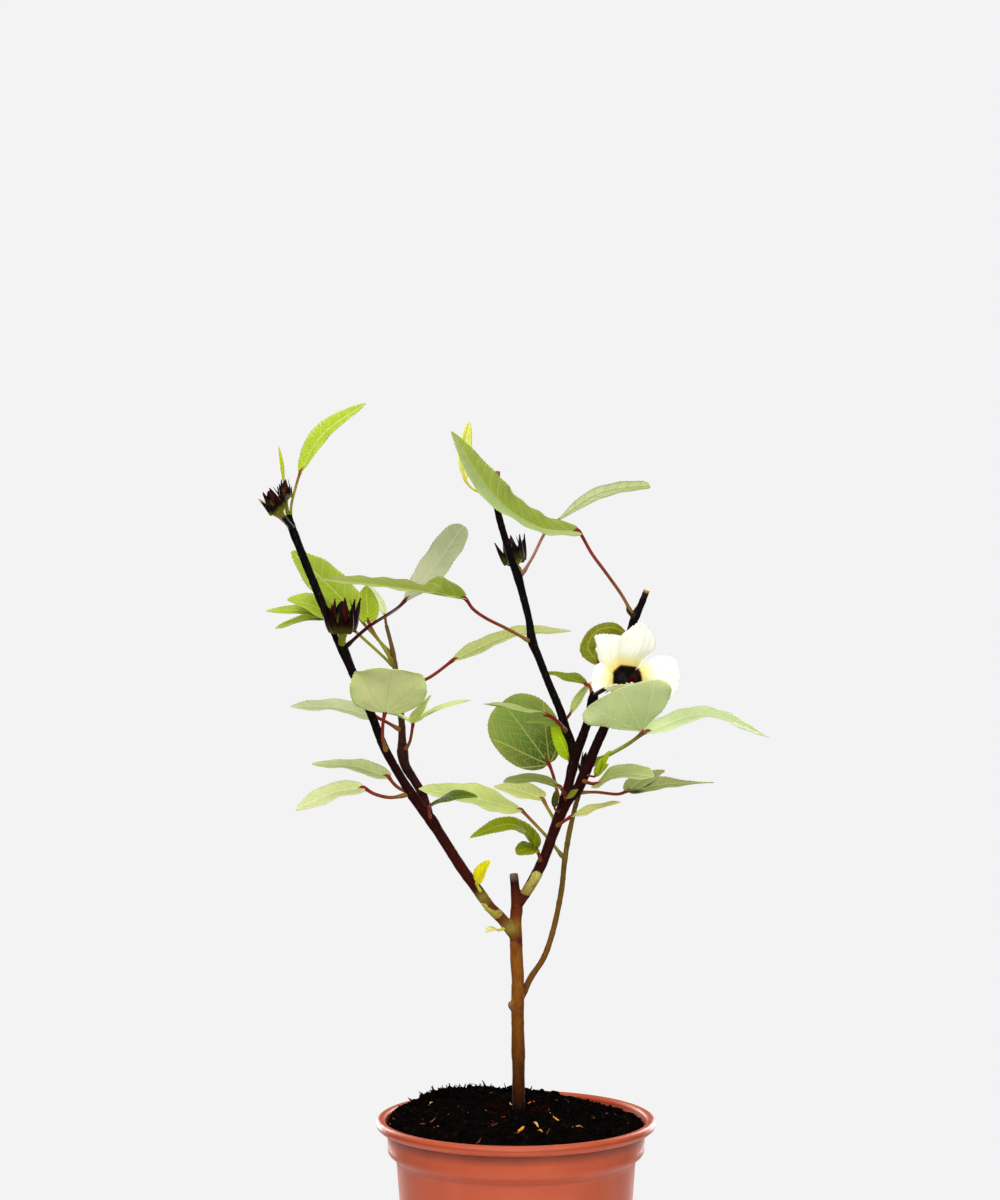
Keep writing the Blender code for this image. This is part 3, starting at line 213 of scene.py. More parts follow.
# Each leaf: petiole from its stem, midrib from base to tip, the way its upper side looks, its full
# width and its outline; then its colours (sRGB) at the base, at the tip and along the veins
LEAVES = {
    "leaf_left_1": (
        [(-80, 411, -28), (-94, 408.5, -32), (-106, 411, -35)],
        [(-115, 416, -38), (-138, 412, -46), (-165.7, 399, -56)],
        (0.1, -0.50, 0.85), 20, OVATE, (196, 206, 130), (214, 220, 158), (236, 232, 196)),
    "leaf_left_2": (
        [(-79, 412.5, -28), (-87, 415, -20), (-92, 419, -14)],
        [(-96, 424, -9), (-122, 432, 4), (-153.7, 434, 20)],
        (0.1, -0.42, 0.90), 20, OVATE, (168, 180, 108), (196, 202, 142), (222, 220, 170)),
    "leaf_left_3": (
        [(-63, 389, -22), (-65.5, 398, -31)],
        [(-64, 403, -36), (-46, 409, -46), (-29, 409, -58)],
        (0.0, -0.42, 0.90), 16, OVATE, (50, 72, 4), (80, 100, 4), (128, 148, 22)),
    "leaf_left_4": (
        [(-97, 441, -32), (-100, 452, -40), (-100, 464, -44)],
        [(-98.6, 472, -47), (-96, 489, -68), (-93, 505, -93)],
        (0.05, 0.52, 0.85), 56, ROUND, (252, 252, 184), (252, 252, 178), (210, 246, 118)),
    "leaf_left_5": (
        [(-130, 520, -40), (-112, 536, -32), (-98, 545, -9), (-89, 551, 13)],
        [(-84, 556, 20), (-62, 581, 27), (-39.5, 613, 35)],
        (-0.35, -0.88, 0.30), 26, OBOVATE, (198, 200, 166), (148, 162, 116), (202, 184, 156)),
    "leaf_left_6": (
        [(-169.6, 614, -43), (-168.9, 628, -42), (-165.6, 642, -44)],
        [(-162.4, 652.5, -46), (-145, 682, -56), (-113, 705, -66)],
        (0.35, -0.75, 0.50), 13, LANCE, (202, 224, 46), (180, 202, 44), (224, 236, 142)),
    "leaf_left_7": (
        [(-171, 618, -43), (-174.5, 630, -33)],
        [(-174.5, 645, -31), (-176, 659, -33), (-178.5, 673, -36)],
        (0.2, -0.9, 0.1), 2.8, LANCE, (158, 178, 4), (212, 220, 28), (212, 220, 58)),
    "leaf_left_8": (
        [(-166.5, 606, -43.5), (-173, 614, -39)],
        [(-178, 619, -38), (-186, 626, -39), (-193.5, 633, -41)],
        (0.3, -0.8, 0.5), 4.5, LANCE, (150, 96, 60), (232, 230, 140), (120, 60, 40)),
    "leaf_left_9": (
        [(-25, 335, -8), (-29, 342, -16)],
        [(-29.5, 345, -20), (-26, 353, -25), (-19.5, 361, -30)],
        (-0.5, -0.75, 0.3), 11, OVATE, (252, 230, 4), (252, 236, 6), (252, 246, 62)),
    "leaf_left_10": (
        [(-5, 311, -2), (-12, 309, -7)],
        [(-14, 309, -9), (-18, 310, -13), (-23, 307, -18)],
        (0.0, -0.5, 0.85), 6, LANCE, (232, 228, 68), (252, 242, 150), (252, 246, 186)),
    "leaf_inner_1": (
        [(-85, 458, 14), (-97, 465, 10), (-103, 468, 7)],
        [(-107, 470, 5), (-136, 476, 0), (-169.5, 477, -8)],
        (0.05, -0.35, 0.93), 26, OVATE, (186, 198, 142), (204, 210, 160), (226, 226, 188)),
    "leaf_inner_3": (
        [(-88.3, 483, 22), (-80, 491, 30), (-63, 500, 40)],
        [(-47, 512, 46), (-3, 531, 60), (41.5, 534, 70)],
        (0.15, -0.30, 0.92), 22, LANCE, (186, 194, 106), (190, 196, 124), (232, 226, 166)),
    "leaf_inner_4": (
        [(-93, 515, 30), (-106, 530, 35), (-115, 540, 26)],
        [(-119, 546, 19), (-143, 570, 15), (-169, 594, 14)],
        (0.30, -0.85, 0.40), 30, OVATE, (158, 180, 38), (158, 178, 42), (210, 218, 118)),
    "leaf_inner_5": (
        [(-91.5, 508, 28), (-100, 522, 20), (-107, 533, 11)],
        [(-111, 541, 7), (-112, 554, 3), (-112.6, 568, 0)],
        (0.1, -0.80, 0.2), 17, OVATE, (202, 228, 48), (186, 214, 48), (252, 252, 120)),
    "leaf_inner_7": (
        [(-97, 535, 34), (-98, 541, 38)],
        [(-98.5, 545, 40), (-103, 556, 46), (-110, 568, 50)],
        (0.3, -0.85, 0.3), 7, LANCE, (216, 222, 128), (226, 232, 166), (242, 240, 244)),
    "leaf_middle_1": (
        [(12, 525, 39.5), (-6, 535, 30), (-22, 543, 22), (-32, 550, 16)],
        [(-38, 558, 10), (-93, 567, -16), (-150, 573, -33)],
        (0.05, -0.33, 0.94), 34, LANCE, (120, 136, 28), (154, 162, 74), (190, 192, 114)),
    "leaf_middle_2": (
        [(4, 575, 42), (13, 590, 45), (21, 606, 48)],
        [(30.5, 616.5, 51), (64, 637.5, 60), (100.5, 643, 68)],
        (-0.1, -0.56, 0.83), 17, BLUNT, (194, 198, 150), (178, 186, 122), (112, 130, 62)),
    "leaf_middle_3": (
        [(-15, 634, 43), (-24, 637, 48), (-33, 641, 52)],
        [(-38.5, 648, 53), (-38.5, 670, 58), (-35, 692, 62)],
        (0.5, -0.80, 0.1), 12, LANCE, (234, 232, 100), (236, 242, 86), (252, 248, 176)),
    "leaf_middle_4": (
        [(38.5, 457, 27), (33, 464, 12), (27, 469, 4)],
        [(22, 471, 0), (0, 475, -10), (-24, 479, -22)],
        (0.0, -0.18, 0.98), 22, LANCE, (162, 180, 94), (184, 196, 116), (214, 218, 152)),
    "leaf_middle_5": (
        [(39.3, 457, 26), (36, 461, 31)],
        [(32.5, 463.5, 32), (19, 465.5, 34), (6.5, 465, 36)],
        (0.0, -0.30, 0.95), 15, OVATE, (122, 138, 38), (114, 138, 48), (172, 184, 90)),
    "leaf_middle_6": (
        [(42, 429, 19), (41.5, 432, 26)],
        [(40, 437, 29), (35, 450, 33), (27, 465, 37)],
        (-0.5, -0.70, 0.2), 14, LANCE, (160, 196, 4), (218, 250, 8), (236, 248, 66)),
    "leaf_middle_7": (
        [(57.5, 481, 12), (56, 491, 16)],
        [(52, 494, 20), (38, 499, 36), (22.5, 503, 54)],
        (0.1, -0.35, 0.92), 17, LANCE, (94, 112, 4), (122, 136, 6), (172, 176, 40)),
    "leaf_middle_8": (
        [(36.5, 466, 29), (39, 469, 35)],
        [(41, 472, 37), (48, 484, 34), (57.5, 496, 27)],
        (-0.45, -0.60, 0.5), 9, LANCE, (200, 214, 108), (208, 226, 106), (240, 244, 178)),
    "leaf_right_1": (
        [(88, 545, 5), (80, 560, -2), (68, 577, -6), (57, 592, -5)],
        [(47.5, 608.5, -4), (20, 611, -13), (-6, 625.5, -22), (-27, 649, -29), (-48.6, 684, -38)],
        (-0.20, -0.62, 0.75), 35, BROAD, (122, 138, 24), (166, 182, 78), (194, 198, 118)),
    "leaf_right_2": (
        [(60, 486, 8.5), (61, 495, 20), (62, 503, 24)],
        [(62, 510, 25), (54, 521, 27), (60, 533, 30), (72, 536.5, 33), (83, 532, 35)],
        (-0.1, -0.75, 0.55), 13, OBLONG, (112, 118, 6), (112, 116, 6), (170, 168, 52)),
    "leaf_right_3": (
        [(53, 430, 8), (62, 436, 7), (71, 441, 1), (85, 449, -26)],
        [(95, 457.6, -52), (88, 472, -66), (78.6, 491, -80)],
        (-0.12, 0.71, 0.71), 68, FAN, (198, 220, 128), (222, 234, 166), (230, 238, 176)),
    "leaf_right_4": (
        [(55.5, 436, 7), (64, 438.5, 14), (72, 442, 12), (86, 450, 0)],
        [(98, 458, -16), (143, 471, -4), (190, 454, 10)],
        (0.0, -0.38, 0.92), 24, OVATE, (208, 224, 156), (196, 214, 148), (238, 238, 206)),
    "leaf_right_6": (
        [(49.5, 421.5, 9.5), (54.5, 419.5, 0), (58, 418.8, -8)],
        [(61, 418.8, -12), (80, 426, -30), (103.5, 424, -52)],
        (0.0, -0.50, 0.86), 30, OVATE, (156, 168, 88), (188, 202, 130), (212, 216, 148)),
    "leaf_right_8": (
        [(29, 386, 10), (36, 390.5, 2)],
        [(42, 394.5, -2), (60, 400, -10), (78.5, 405, -21)],
        (0.0, -0.35, 0.93), 16, LANCE, (194, 204, 104), (246, 234, 146), (248, 238, 176)),
    "leaf_right_9": (
        [(35, 401, 13), (31, 413, 30), (28, 425, 41)],
        [(24.8, 433.6, 46), (7, 458, 58), (-10, 480.5, 70)],
        (-0.25, -0.85, 0.45), 53, DISC, (34, 70, 4), (138, 166, 72), (192, 184, 92)),
    "leaf_right_10": (
        [(37, 410, 15.5), (35, 414, 6)],
        [(32.5, 417, 2), (11, 422, -8), (-9.5, 420, -22)],
        (0.0, -0.35, 0.93), 20, OVATE, (112, 120, 48), (136, 146, 74), (174, 178, 112)),
    "leaf_right_11": (
        [(30, 389, 11), (27, 395, 22), (23, 402, 30)],
        [(20, 407.5, 33), (2, 414, 42), (-17, 417, 52)],
        (0.0, -0.42, 0.90), 22, OVATE, (200, 212, 114), (224, 226, 140), (252, 246, 180)),
    "leaf_right_13": (
        [(33, 397, 12), (30, 399, 2)],
        [(29, 401, -2), (29.2, 407, -5), (29.5, 413.5, -7)],
        (0.1, -0.90, 0.1), 5, LANCE, (38, 52, 8), (60, 72, 14), (86, 94, 32)),
    "leaf_right_14": (
        [(38, 405.5, 13), (37, 408, 7)],
        [(38, 409, 5), (42, 411, -1), (46.5, 414.5, -5)],
        (-0.2, -0.80, 0.5), 6, LANCE, (110, 122, 10), (122, 126, 18), (154, 158, 50)),
    "leaf_back_1": (
        [(36.6, 362, 37), (24, 378, 29), (10, 393, 22)],
        [(3.5, 399.5, 18), (-35, 409, -2), (-73, 415, -14)],
        (0.10, -0.50, 0.85), 31, LANCE, (210, 222, 120), (204, 214, 130), (234, 236, 172)),
}

# Lobed leaves: a petiole, the lobes' shared base, then each lobe's midrib, width and outline
LOBED_LEAVES = {
    "leaf_inner_2": (
        [(-84.5, 443, 9.5), (-80, 450, 2), (-78, 460, -2)], (-77.6, 465, -4),
        [([(-88, 470, -14), (-97, 472, -26)], 16, LANCE), ([(-72, 474, -14), (-64, 486, -26)], 15, LANCE),
         ([(-58, 475, -12), (-34.5, 482, -30)], 15, LANCE)],
        (0.0, -0.45, 0.88), (224, 234, 142), (220, 232, 144), (246, 248, 180)),
    "leaf_inner_6": (
        [(-90.8, 506, 27.5), (-108, 522, 14), (-125, 537, 2)], (-136, 545, -4),
        [([(-154, 553, -9), (-172, 557.5, -16)], 26, OVATE),
         ([(-160, 549, -4), (-187.6, 549, -2)], 14, LANCE),
         ([(-158, 543, 4), (-181, 536, 13)], 15, LANCE)],
        (0.05, -0.55, 0.82), (116, 142, 4), (180, 198, 64), (202, 210, 78)),
    "leaf_right_5": (
        [(51.5, 426, 9), (56.5, 424.5, 2)], (59.5, 424.5, -4),
        [([(61.5, 431, -8), (63.8, 437.5, -11)], 5, LANCE), ([(66, 435.5, -9), (71, 444, -14)], 6.5, LANCE),
         ([(65.5, 430, -8), (69.8, 434, -11)], 5, LANCE)],
        (-0.3, -0.75, 0.5), (130, 158, 6), (168, 184, 12), (206, 212, 60)),
    "leaf_right_12": (
        [(18, 359, 6), (18, 363, 1)], (15.5, 370, -3),
        [([(11.5, 379, -9), (3.5, 386, -14), (-9.4, 388, -20), (-34.5, 378.5, -32)], 16, OVATE),
         ([(8, 370, -8), (0, 366.5, -10)], 15, ROUND)],
        (-0.15, -0.62, 0.75), (104, 118, 4), (132, 142, 4), (172, 176, 40)),
    "leaf_right_7": (
        [(44, 412, 12), (60, 412.5, 12), (76, 411, 11)], (84, 413.5, 10),
        [([(112, 418.5, 20), (149, 420, 30)], 24, TAILED), ([(98, 424, 28), (112, 429, 44)], 17, OVATE),
         ([(90, 414.5, 2), (98, 415, -8)], 12, OVATE)],
        (0.0, -0.36, 0.92), (124, 138, 64), (164, 160, 104), (188, 186, 130)),
}
# Leaves whose main veins fan out from the base
PALMATE = ("leaf_left_4", "leaf_right_3", "leaf_right_9")

# What sets some blades apart: how far each half is folded up, as (share of the length, degrees), the
# roll of both halves, the depth of their waves and the reach of their teeth over the usual, the left
# half's width over the usual, and the tint of the left half
FORMS = {
    "leaf_left_6": {
        "left": [(0, 0), (1, 6)], "right": [(0, 70), (0.25, 50), (0.42, 14), (1, 8)],
        "wave": 1.2, "sides": 1.2},
    "leaf_middle_1": {
        "left": [(0, 16), (1, 10)], "right": [(0, 70), (0.19, 66), (0.25, 6), (1, 4)],
        "left_tint": (176, 192, 112)},
    "leaf_right_1": {
        "left": [(0, 16), (0.4, 28), (1, 20)], "right": [(0, 2), (1, 8)], "left_tint": (172, 192, 124)},
    "leaf_left_5": {"wave": 1.4},
    "leaf_right_2": {"curl": -0.4},
    "leaf_right_3": {"left": [(0, -5), (1, -5)], "right": [(0, -7), (1, -7)], "teeth": 1.6},
    "leaf_inner_4": {"wave": 1.5},
}

# Colours (sRGB) of petioles from the stem to the blade
RED_STALK = [(140, 120, 50), (136, 84, 40), (126, 54, 30), (140, 44, 34), (126, 36, 30)]
GREEN_STALK = [(110, 100, 40), (150, 150, 50), (164, 166, 50), (160, 110, 60), (140, 60, 40)]
YELLOW_STALK = [(190, 200, 60), (214, 214, 60), (220, 214, 60), (214, 200, 70)]
ROSY_STALK = [(150, 100, 90), (170, 120, 106), (176, 126, 110), (150, 80, 60), (130, 50, 36)]
DARK_STALK = [(40, 14, 18), (60, 18, 24), (74, 20, 28), (90, 28, 34), (110, 40, 44)]
LEAFY_STALK = [(120, 130, 40), (150, 166, 50), (160, 172, 56), (150, 150, 60), (140, 64, 40)]
GREEN_STALKED = (
    "leaf_left_6", "leaf_left_7", "leaf_left_8", "leaf_inner_4", "leaf_inner_5", "leaf_inner_6",
    "leaf_middle_6", "leaf_right_11", "leaf_back_1")
STALKS = {
    "leaf_middle_2": ROSY_STALK, "leaf_middle_3": YELLOW_STALK, "leaf_left_10": YELLOW_STALK,
    "leaf_left_9": YELLOW_STALK, "leaf_left_5": DARK_STALK, "leaf_right_3": LEAFY_STALK,
    "leaf_right_4": LEAFY_STALK, **dict.fromkeys(GREEN_STALKED, GREEN_STALK),
}

# Buds: a short stalk from the stem, the cup's tip, its widest radius and its number of bracts
BUDS = {
    "bud_left_tip": ([(-168, 611, -45), (-173, 617, -55), (-176, 621, -61)], (-186, 638, -66), 7.0, 8),
    "bud_left_small": ([(-171.2, 620, -44), (-172.8, 630, -45)], (-174, 646, -46), 4.2, 5),
    "bud_left": ([(-131, 523, -40), (-130.5, 529, -49)], (-131.0, 555.5, -55), 9.4, 10),
    "bud_middle": ([(3, 576, 42), (2, 580, 51), (0, 581.5, 57)], (-5, 602.5, 62), 8.2, 9),
    "bud_back": ([(48.0, 412.5, 42), (51.2, 424, 41)], (52, 441, 41), 3.6, 4),
}
# Young buds have short broad bracts with an olive foot; the first sits on a dark stalk
YOUNG_BUDS = ("bud_left_tip", "bud_left_small")
BUD_STALK_ROWS = 10
# A cup as (share of its length, share of its widest radius), from a little beyond its stalk's end
CUP_START = 1.5
BUD_PROFILE = [
    (0.04, 0.42), (0.12, 0.72), (0.22, 0.88), (0.34, 0.95), (0.46, 0.86), (0.58, 0.70),
    (0.70, 0.54), (0.80, 0.42), (0.90, 0.24), (0.97, 0.08),
]

# The flower
PEDICEL = [(58.5, 485.5, 10), (64, 488.5, -2), (72, 493, -13)]
PEDICEL_RADIUS = 1.7
CALYX_BASE = (77, 496, -18)
EYE_OF_FLOWER = (84.7, 497.5, -30)
CALYX_RADIUS = 7.5
# How far before the throat the cup ends
CALYX_SHORT = 6.5
CALYX_PROFILE = (
    (0.08, 0.36), (0.15, 0.55), (0.28, 0.74), (0.4, 0.85), (0.6, 0.95), (0.8, 1.0), (1.0, 0.95))
COLUMN = ((0, 1.6), (3, 1.4), (6, 1.2), (9, 0.8))
ANTHERS, STIGMA_PARTS = 26, 5
SEPALS, BRACTS = 5, 6
PETAL_ROWS, PETAL_COLUMNS = 44, 33
# How near the throat a petal's foot is, as a share of the way to its first points
PETAL_FOOT = 0.26
# How far behind the throat the petals and the column start
PETAL_START, COLUMN_START = 2.1, 0.3
# The dark eye: the way it faces, then (forward, radius) for each of its loops
EYE_FACES = (0.10, -1.0, 0.05)
EYE_LOOPS = ((-1.6, 9.0), (-1.2, 9.8), (-0.8, 9.0))
# Each petal's two sides from the throat to the tip, then how far its tip is rounded and its middle
# comes forward
PETALS = [
    ([(74, 500, -27), (63, 510, -33), (61, 521, -37), (58.5, 530, -38)],
     [(81, 507, -27), (80, 519, -32), (78.5, 529, -35)], 2.0, 3.0),
    ([(74, 502, -28), (66, 509, -34), (60.5, 508.5, -37), (57.5, 503, -38)],
     [(76, 493, -28), (69.5, 492, -35), (64, 490.5, -39), (59.5, 487.5, -41)], 2.5, 2.5),
    ([(92, 506, -28), (105, 514.5, -32), (115, 514.5, -36), (121, 510.5, -38)],
     [(94, 493, -28), (102, 488, -36), (108.5, 482.5, -42), (111.5, 480.5, -44)], 7.0, 4.0),
    ([(79, 506, -29), (76, 519, -35), (79, 530, -39), (86, 536, -41)],
     [(91, 506, -29), (97, 514, -34), (104, 519.5, -38), (104.5, 527, -40), (101, 534, -41)], 4.5, 4.5),
    ([(75, 490.5, -29), (71, 489, -38), (66, 491.5, -46)],
     [(91, 489, -29), (91.5, 490, -38), (89, 494.5, -47)], 2.0, 1.5),
]

# Chips on the soil: where the front view shows them (across, up), their turn in degrees from the
# view's right towards the back, their half length, thickness and colour
CHIPS = [
    (-78, 176.6, 40, 2.6, 0.45, STRAW), (-65, 177.6, 60, 2.4, 0.45, STRAW),
    (-64, 179, 0, 1.4, 0.4, STRAW), (-92, 166.6, -50, 2.0, 0.4, RUST),
    (-96.5, 161.8, -40, 1.6, 0.5, GOLD), (-66, 162.4, -18, 6.4, 0.6, RUST),
    (-60, 160.4, 30, 2.2, 0.5, GOLD), (-28, 151.4, 65, 4.0, 0.5, RUST), (-22.6, 173.0, 0, 0.9, 0.5, RUST),
    (-3.8, 177.4, -60, 2.2, 0.5, STRAW), (11.5, 179.4, 35, 3.2, 0.6, GOLD),
    (4.0, 158.4, 62, 4.4, 1.25, GOLD), (1.0, 155.4, 40, 2.6, 0.7, RUST),
    (15.0, 163.0, -70, 4.6, 1.05, STRAW), (18.2, 157.8, -65, 3.6, 0.8, GOLD),
    (26.3, 170.4, -35, 1.6, 0.4, STRAW), (31.0, 165.8, -32, 3.6, 0.7, GOLD),
    (45.0, 160.8, -8, 4.8, 0.6, GOLD), (58.0, 165.6, -80, 3.6, 0.4, STRAW),
    (67.6, 170.4, 55, 3.6, 0.4, RUST), (83.6, 163.6, -75, 4.0, 0.35, RUST),
    (59.0, 160.2, 0, 2.6, 0.35, RUST), (24.0, 157.0, 70, 3.4, 0.35, RUST),
    (-8.0, 168.0, 28, 3.6, 0.4, RUST), (-17.0, 159.4, 30, 4.2, 0.3, RUST),
    (-43.0, 176.0, 70, 2.0, 0.35, RUST), (30.0, 181.0, -30, 2.0, 0.35, RUST),
]


def linear(colour):
    """A linear colour from sRGB bytes."""
    return tuple(((c / 255 + 0.055) / 1.055) ** 2.4 if c > 10 else c / 3294.6 for c in colour)


def blend(start, end, share):
    """Between two values by a share, which may be an array."""
    share = np.asarray(share)[..., None]
    return np.asarray(start) * (1 - share) + np.asarray(end) * share


def coloured(at, stops, colours):
    """The linear colours at places between stops that have sRGB colours."""
    table = np.array([linear(colour) for colour in colours])
    return np.stack([np.interp(at, stops, channel) for channel in table.T], 1)


def place(across, up, back):
    """The point seen at (across, up) in the plane of the pot's axis, moved to the depth `back`."""
    reach = 1 + back / EYE_DISTANCE
    return np.array((EYE_X + (across - EYE_X) * reach, back, EYE_Z + (up - EYE_Z) * reach))


def places(points):
    return [place(*point) for point in points]


def unit(vectors):
    return vectors / np.linalg.norm(vectors, axis=-1, keepdims=True)


def spoke(right, up, angle):
    """The direction at an angle from `right` towards `up`."""
    return right * math.cos(angle) + up * math.sin(angle)


def on_circle(radius, angle):
    """The (x, y) at an angle round the pot's axis."""
    return radius * math.cos(angle), radius * math.sin(angle)


def smooth(points, steps=12):
    """A Catmull-Rom curve through the points, with `steps` pieces in each span."""
    points = np.array(points, float)
    padded = np.vstack([2 * points[0] - points[1], points, 2 * points[-1] - points[-2]])
    t = (np.arange(steps) / steps)[:, None]
    spans = []
    for a, b, c, d in zip(padded, padded[1:], padded[2:], padded[3:]):
        bend = (2 * a - 5 * b + 4 * c - d) * t + (3 * b - a - 3 * c + d) * t * t
        spans.append(0.5 * (2 * b + (c - a + bend) * t))
    return np.vstack(spans + [points[-1:]])


def travelled(path):
    """The distance along a path at each of its points."""
    steps = np.linalg.norm(np.diff(path[:, :3], axis=0), axis=1)
    return np.concatenate([[0.0], np.cumsum(steps)])


def spaced(path, count):
    """The same path as `count` points at equal distances along it."""
    far = travelled(path)
    wanted = np.linspace(0, far[-1], count)
    return np.stack([np.interp(wanted, far, column) for column in path.T], 1)


def stepped(path, fewest):
    """The same path with a point at each loop of a stalk or stem."""
    return spaced(path, max(int(travelled(path)[-1] / LOOP_STEP), fewest))


def directions(path):
    """The heading at each point of a path."""
    ahead = np.vstack([path[1:], path[-1:]])[:, :3]
    behind = np.vstack([path[:1], path[:-1]])[:, :3]
    return unit(ahead - behind)


def carried(headings, right):
    """A sideways direction, carried along a path's headings without twist."""
    rights = []
    for heading in headings:
        right = unit(right - heading * right.dot(heading))
        rights.append(right)
    return np.array(rights)


def tube(path, right, sides):
    """Round loops of points along a path whose rows hold (x, y, z, radius)."""
    headings = directions(path)
    rights = carried(headings, np.array(right, float))
    ups = np.cross(rights, headings)
    angles = math.pi * (1 - 2 * (np.arange(sides) + 0.5) / sides)
    spokes = rights[:, None] * np.cos(angles)[:, None] + ups[:, None] * np.sin(angles)[:, None]
    return path[:, None, :3] + spokes * path[:, 3, None, None]


def around(top, low):
    """Loops that go over the top of a sheet and back below it."""
    return np.concatenate([top, low[:, ::-1]], 1)


def add_object(name, data):
    thing = bpy.data.objects.new(name, data)
    bpy.context.scene.collection.objects.link(thing)
    return thing


def add_mesh(name, points, faces):
    """A new object from points in millimetres and their faces."""
    mesh = bpy.data.meshes.new(name)
    mesh.from_pydata((points * MM).tolist(), [], faces)
    return add_object(name, mesh)


def apply_modifiers(thing):
    """Gives the object the mesh that its modifiers make."""
    evaluated = thing.evaluated_get(bpy.context.evaluated_depsgraph_get())
    mesh = bpy.data.meshes.new_from_object(evaluated)
    thing.modifiers.clear()
    thing.data = mesh


class Shape:
    """A mesh under construction, in millimetres, with named values at its points."""

    def __init__(self):
        self.points = []
        self.faces = []
        self.finishes = []
        self.values = {"tint": [], "vein": [], "place": []}

    def add(self, points, faces, finish=0, **values):
        start = sum(len(block) for block in self.points)
        points = np.asarray(points, float).reshape(-1, 3)
        self.points.append(points)
        self.faces += [[start + corner for corner in face] for face in faces]
        self.finishes += [finish] * len(faces)
        for name, blocks in self.values.items():
            value = np.asarray(values.get(name, (0, 0, 0)), float)
            blocks.append(np.broadcast_to(value.reshape(-1, 3) if value.ndim > 1 else value, points.shape))

    def skin(self, loops, finish=0, **values):
        """A closed skin through loops of points that go over the top and back below."""
        rows, size = loops.shape[:2]
        index = np.arange(rows * size).reshape(rows, size)
        near, far = index[:-1], index[1:]
        quads = np.stack([near, np.roll(near, -1, 1), np.roll(far, -1, 1), far], -1)
        faces = quads.reshape(-1, 4).tolist()
        for row, turn in ((index[0].tolist(), -1), (index[-1].tolist(), 1)):
            for k in range(size // 2 - 1):
                faces.append([row[k], row[k + 1], row[size - 2 - k], row[size - 1 - k]][::turn])
        self.add(loops, faces, finish, **values)

    def rod(self, rows, right, sides, tint, finish=0):
        """A round rod along rows of (x, y, z, radius), with one tint or a tint for each row."""
        tint = np.asarray(tint, float)
        if tint.ndim > 1:
            tint = np.repeat(tint[:, None], sides, 1)
        self.skin(tube(np.asarray(rows, float), right, sides), finish, tint=tint)

    def make(self, name, materials, nodes=()):
        """The finished object, which rides on the root and stands for the nodes."""
        thing = add_mesh(name, np.vstack(self.points), self.faces)
        mesh = thing.data
        mesh.polygons.foreach_set("material_index", self.finishes)
        for label, blocks in self.values.items():
            values = np.vstack(blocks).astype(np.float32)
            layer = mesh.attributes.new(label, "FLOAT_VECTOR", "POINT")
            layer.data.foreach_set("vector", values.ravel())
        mesh.shade_smooth()
        for material in materials:
            mesh.materials.append(material)
        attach(thing, "root")
        if nodes:
            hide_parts(*nodes)
        return thing


class Field:
    """A number over a surface: a socket whose arithmetic adds math nodes to its material."""

    def __init__(self, tree, socket):
        self.tree = tree
        self.socket = socket

    def math(self, operation, *others, clamp=False):
        node = self.tree.nodes.new("ShaderNodeMath")
        node.operation = operation
        node.use_clamp = clamp
        for entry, value in zip(node.inputs, (self, *others)):
            wire(self.tree, value, entry)
        return Field(self.tree, node.outputs[0])

    def __add__(self, other):
        return self.math("ADD", other)

    def __sub__(self, other):
        return self.math("SUBTRACT", other)

    def __mul__(self, other):
        return self.math("MULTIPLY", other)

    def __truediv__(self, other):
        return self.math("DIVIDE", other)

    def size(self):
        return self.math("ABSOLUTE")

    def peak(self, width):
        """1 where the number is 0, falling evenly to 0 at the width."""
        return (self.size() / -width).math("ADD", 1.0, clamp=True)

    def between(self, low, high):
        """0 at low, changing evenly to 1 at high."""
        return ((self - low) / (high - low)).math("ADD", 0.0, clamp=True)

    def to_line(self, spacing):
        """The way to the nearest multiple of the spacing, as a share of the spacing."""
        return (self / spacing + 0.5).math("FRACT") - 0.5


def wire(tree, value, entry):
    if isinstance(value, Field):
        tree.links.new(value.socket, entry)
    else:
        entry.default_value = value


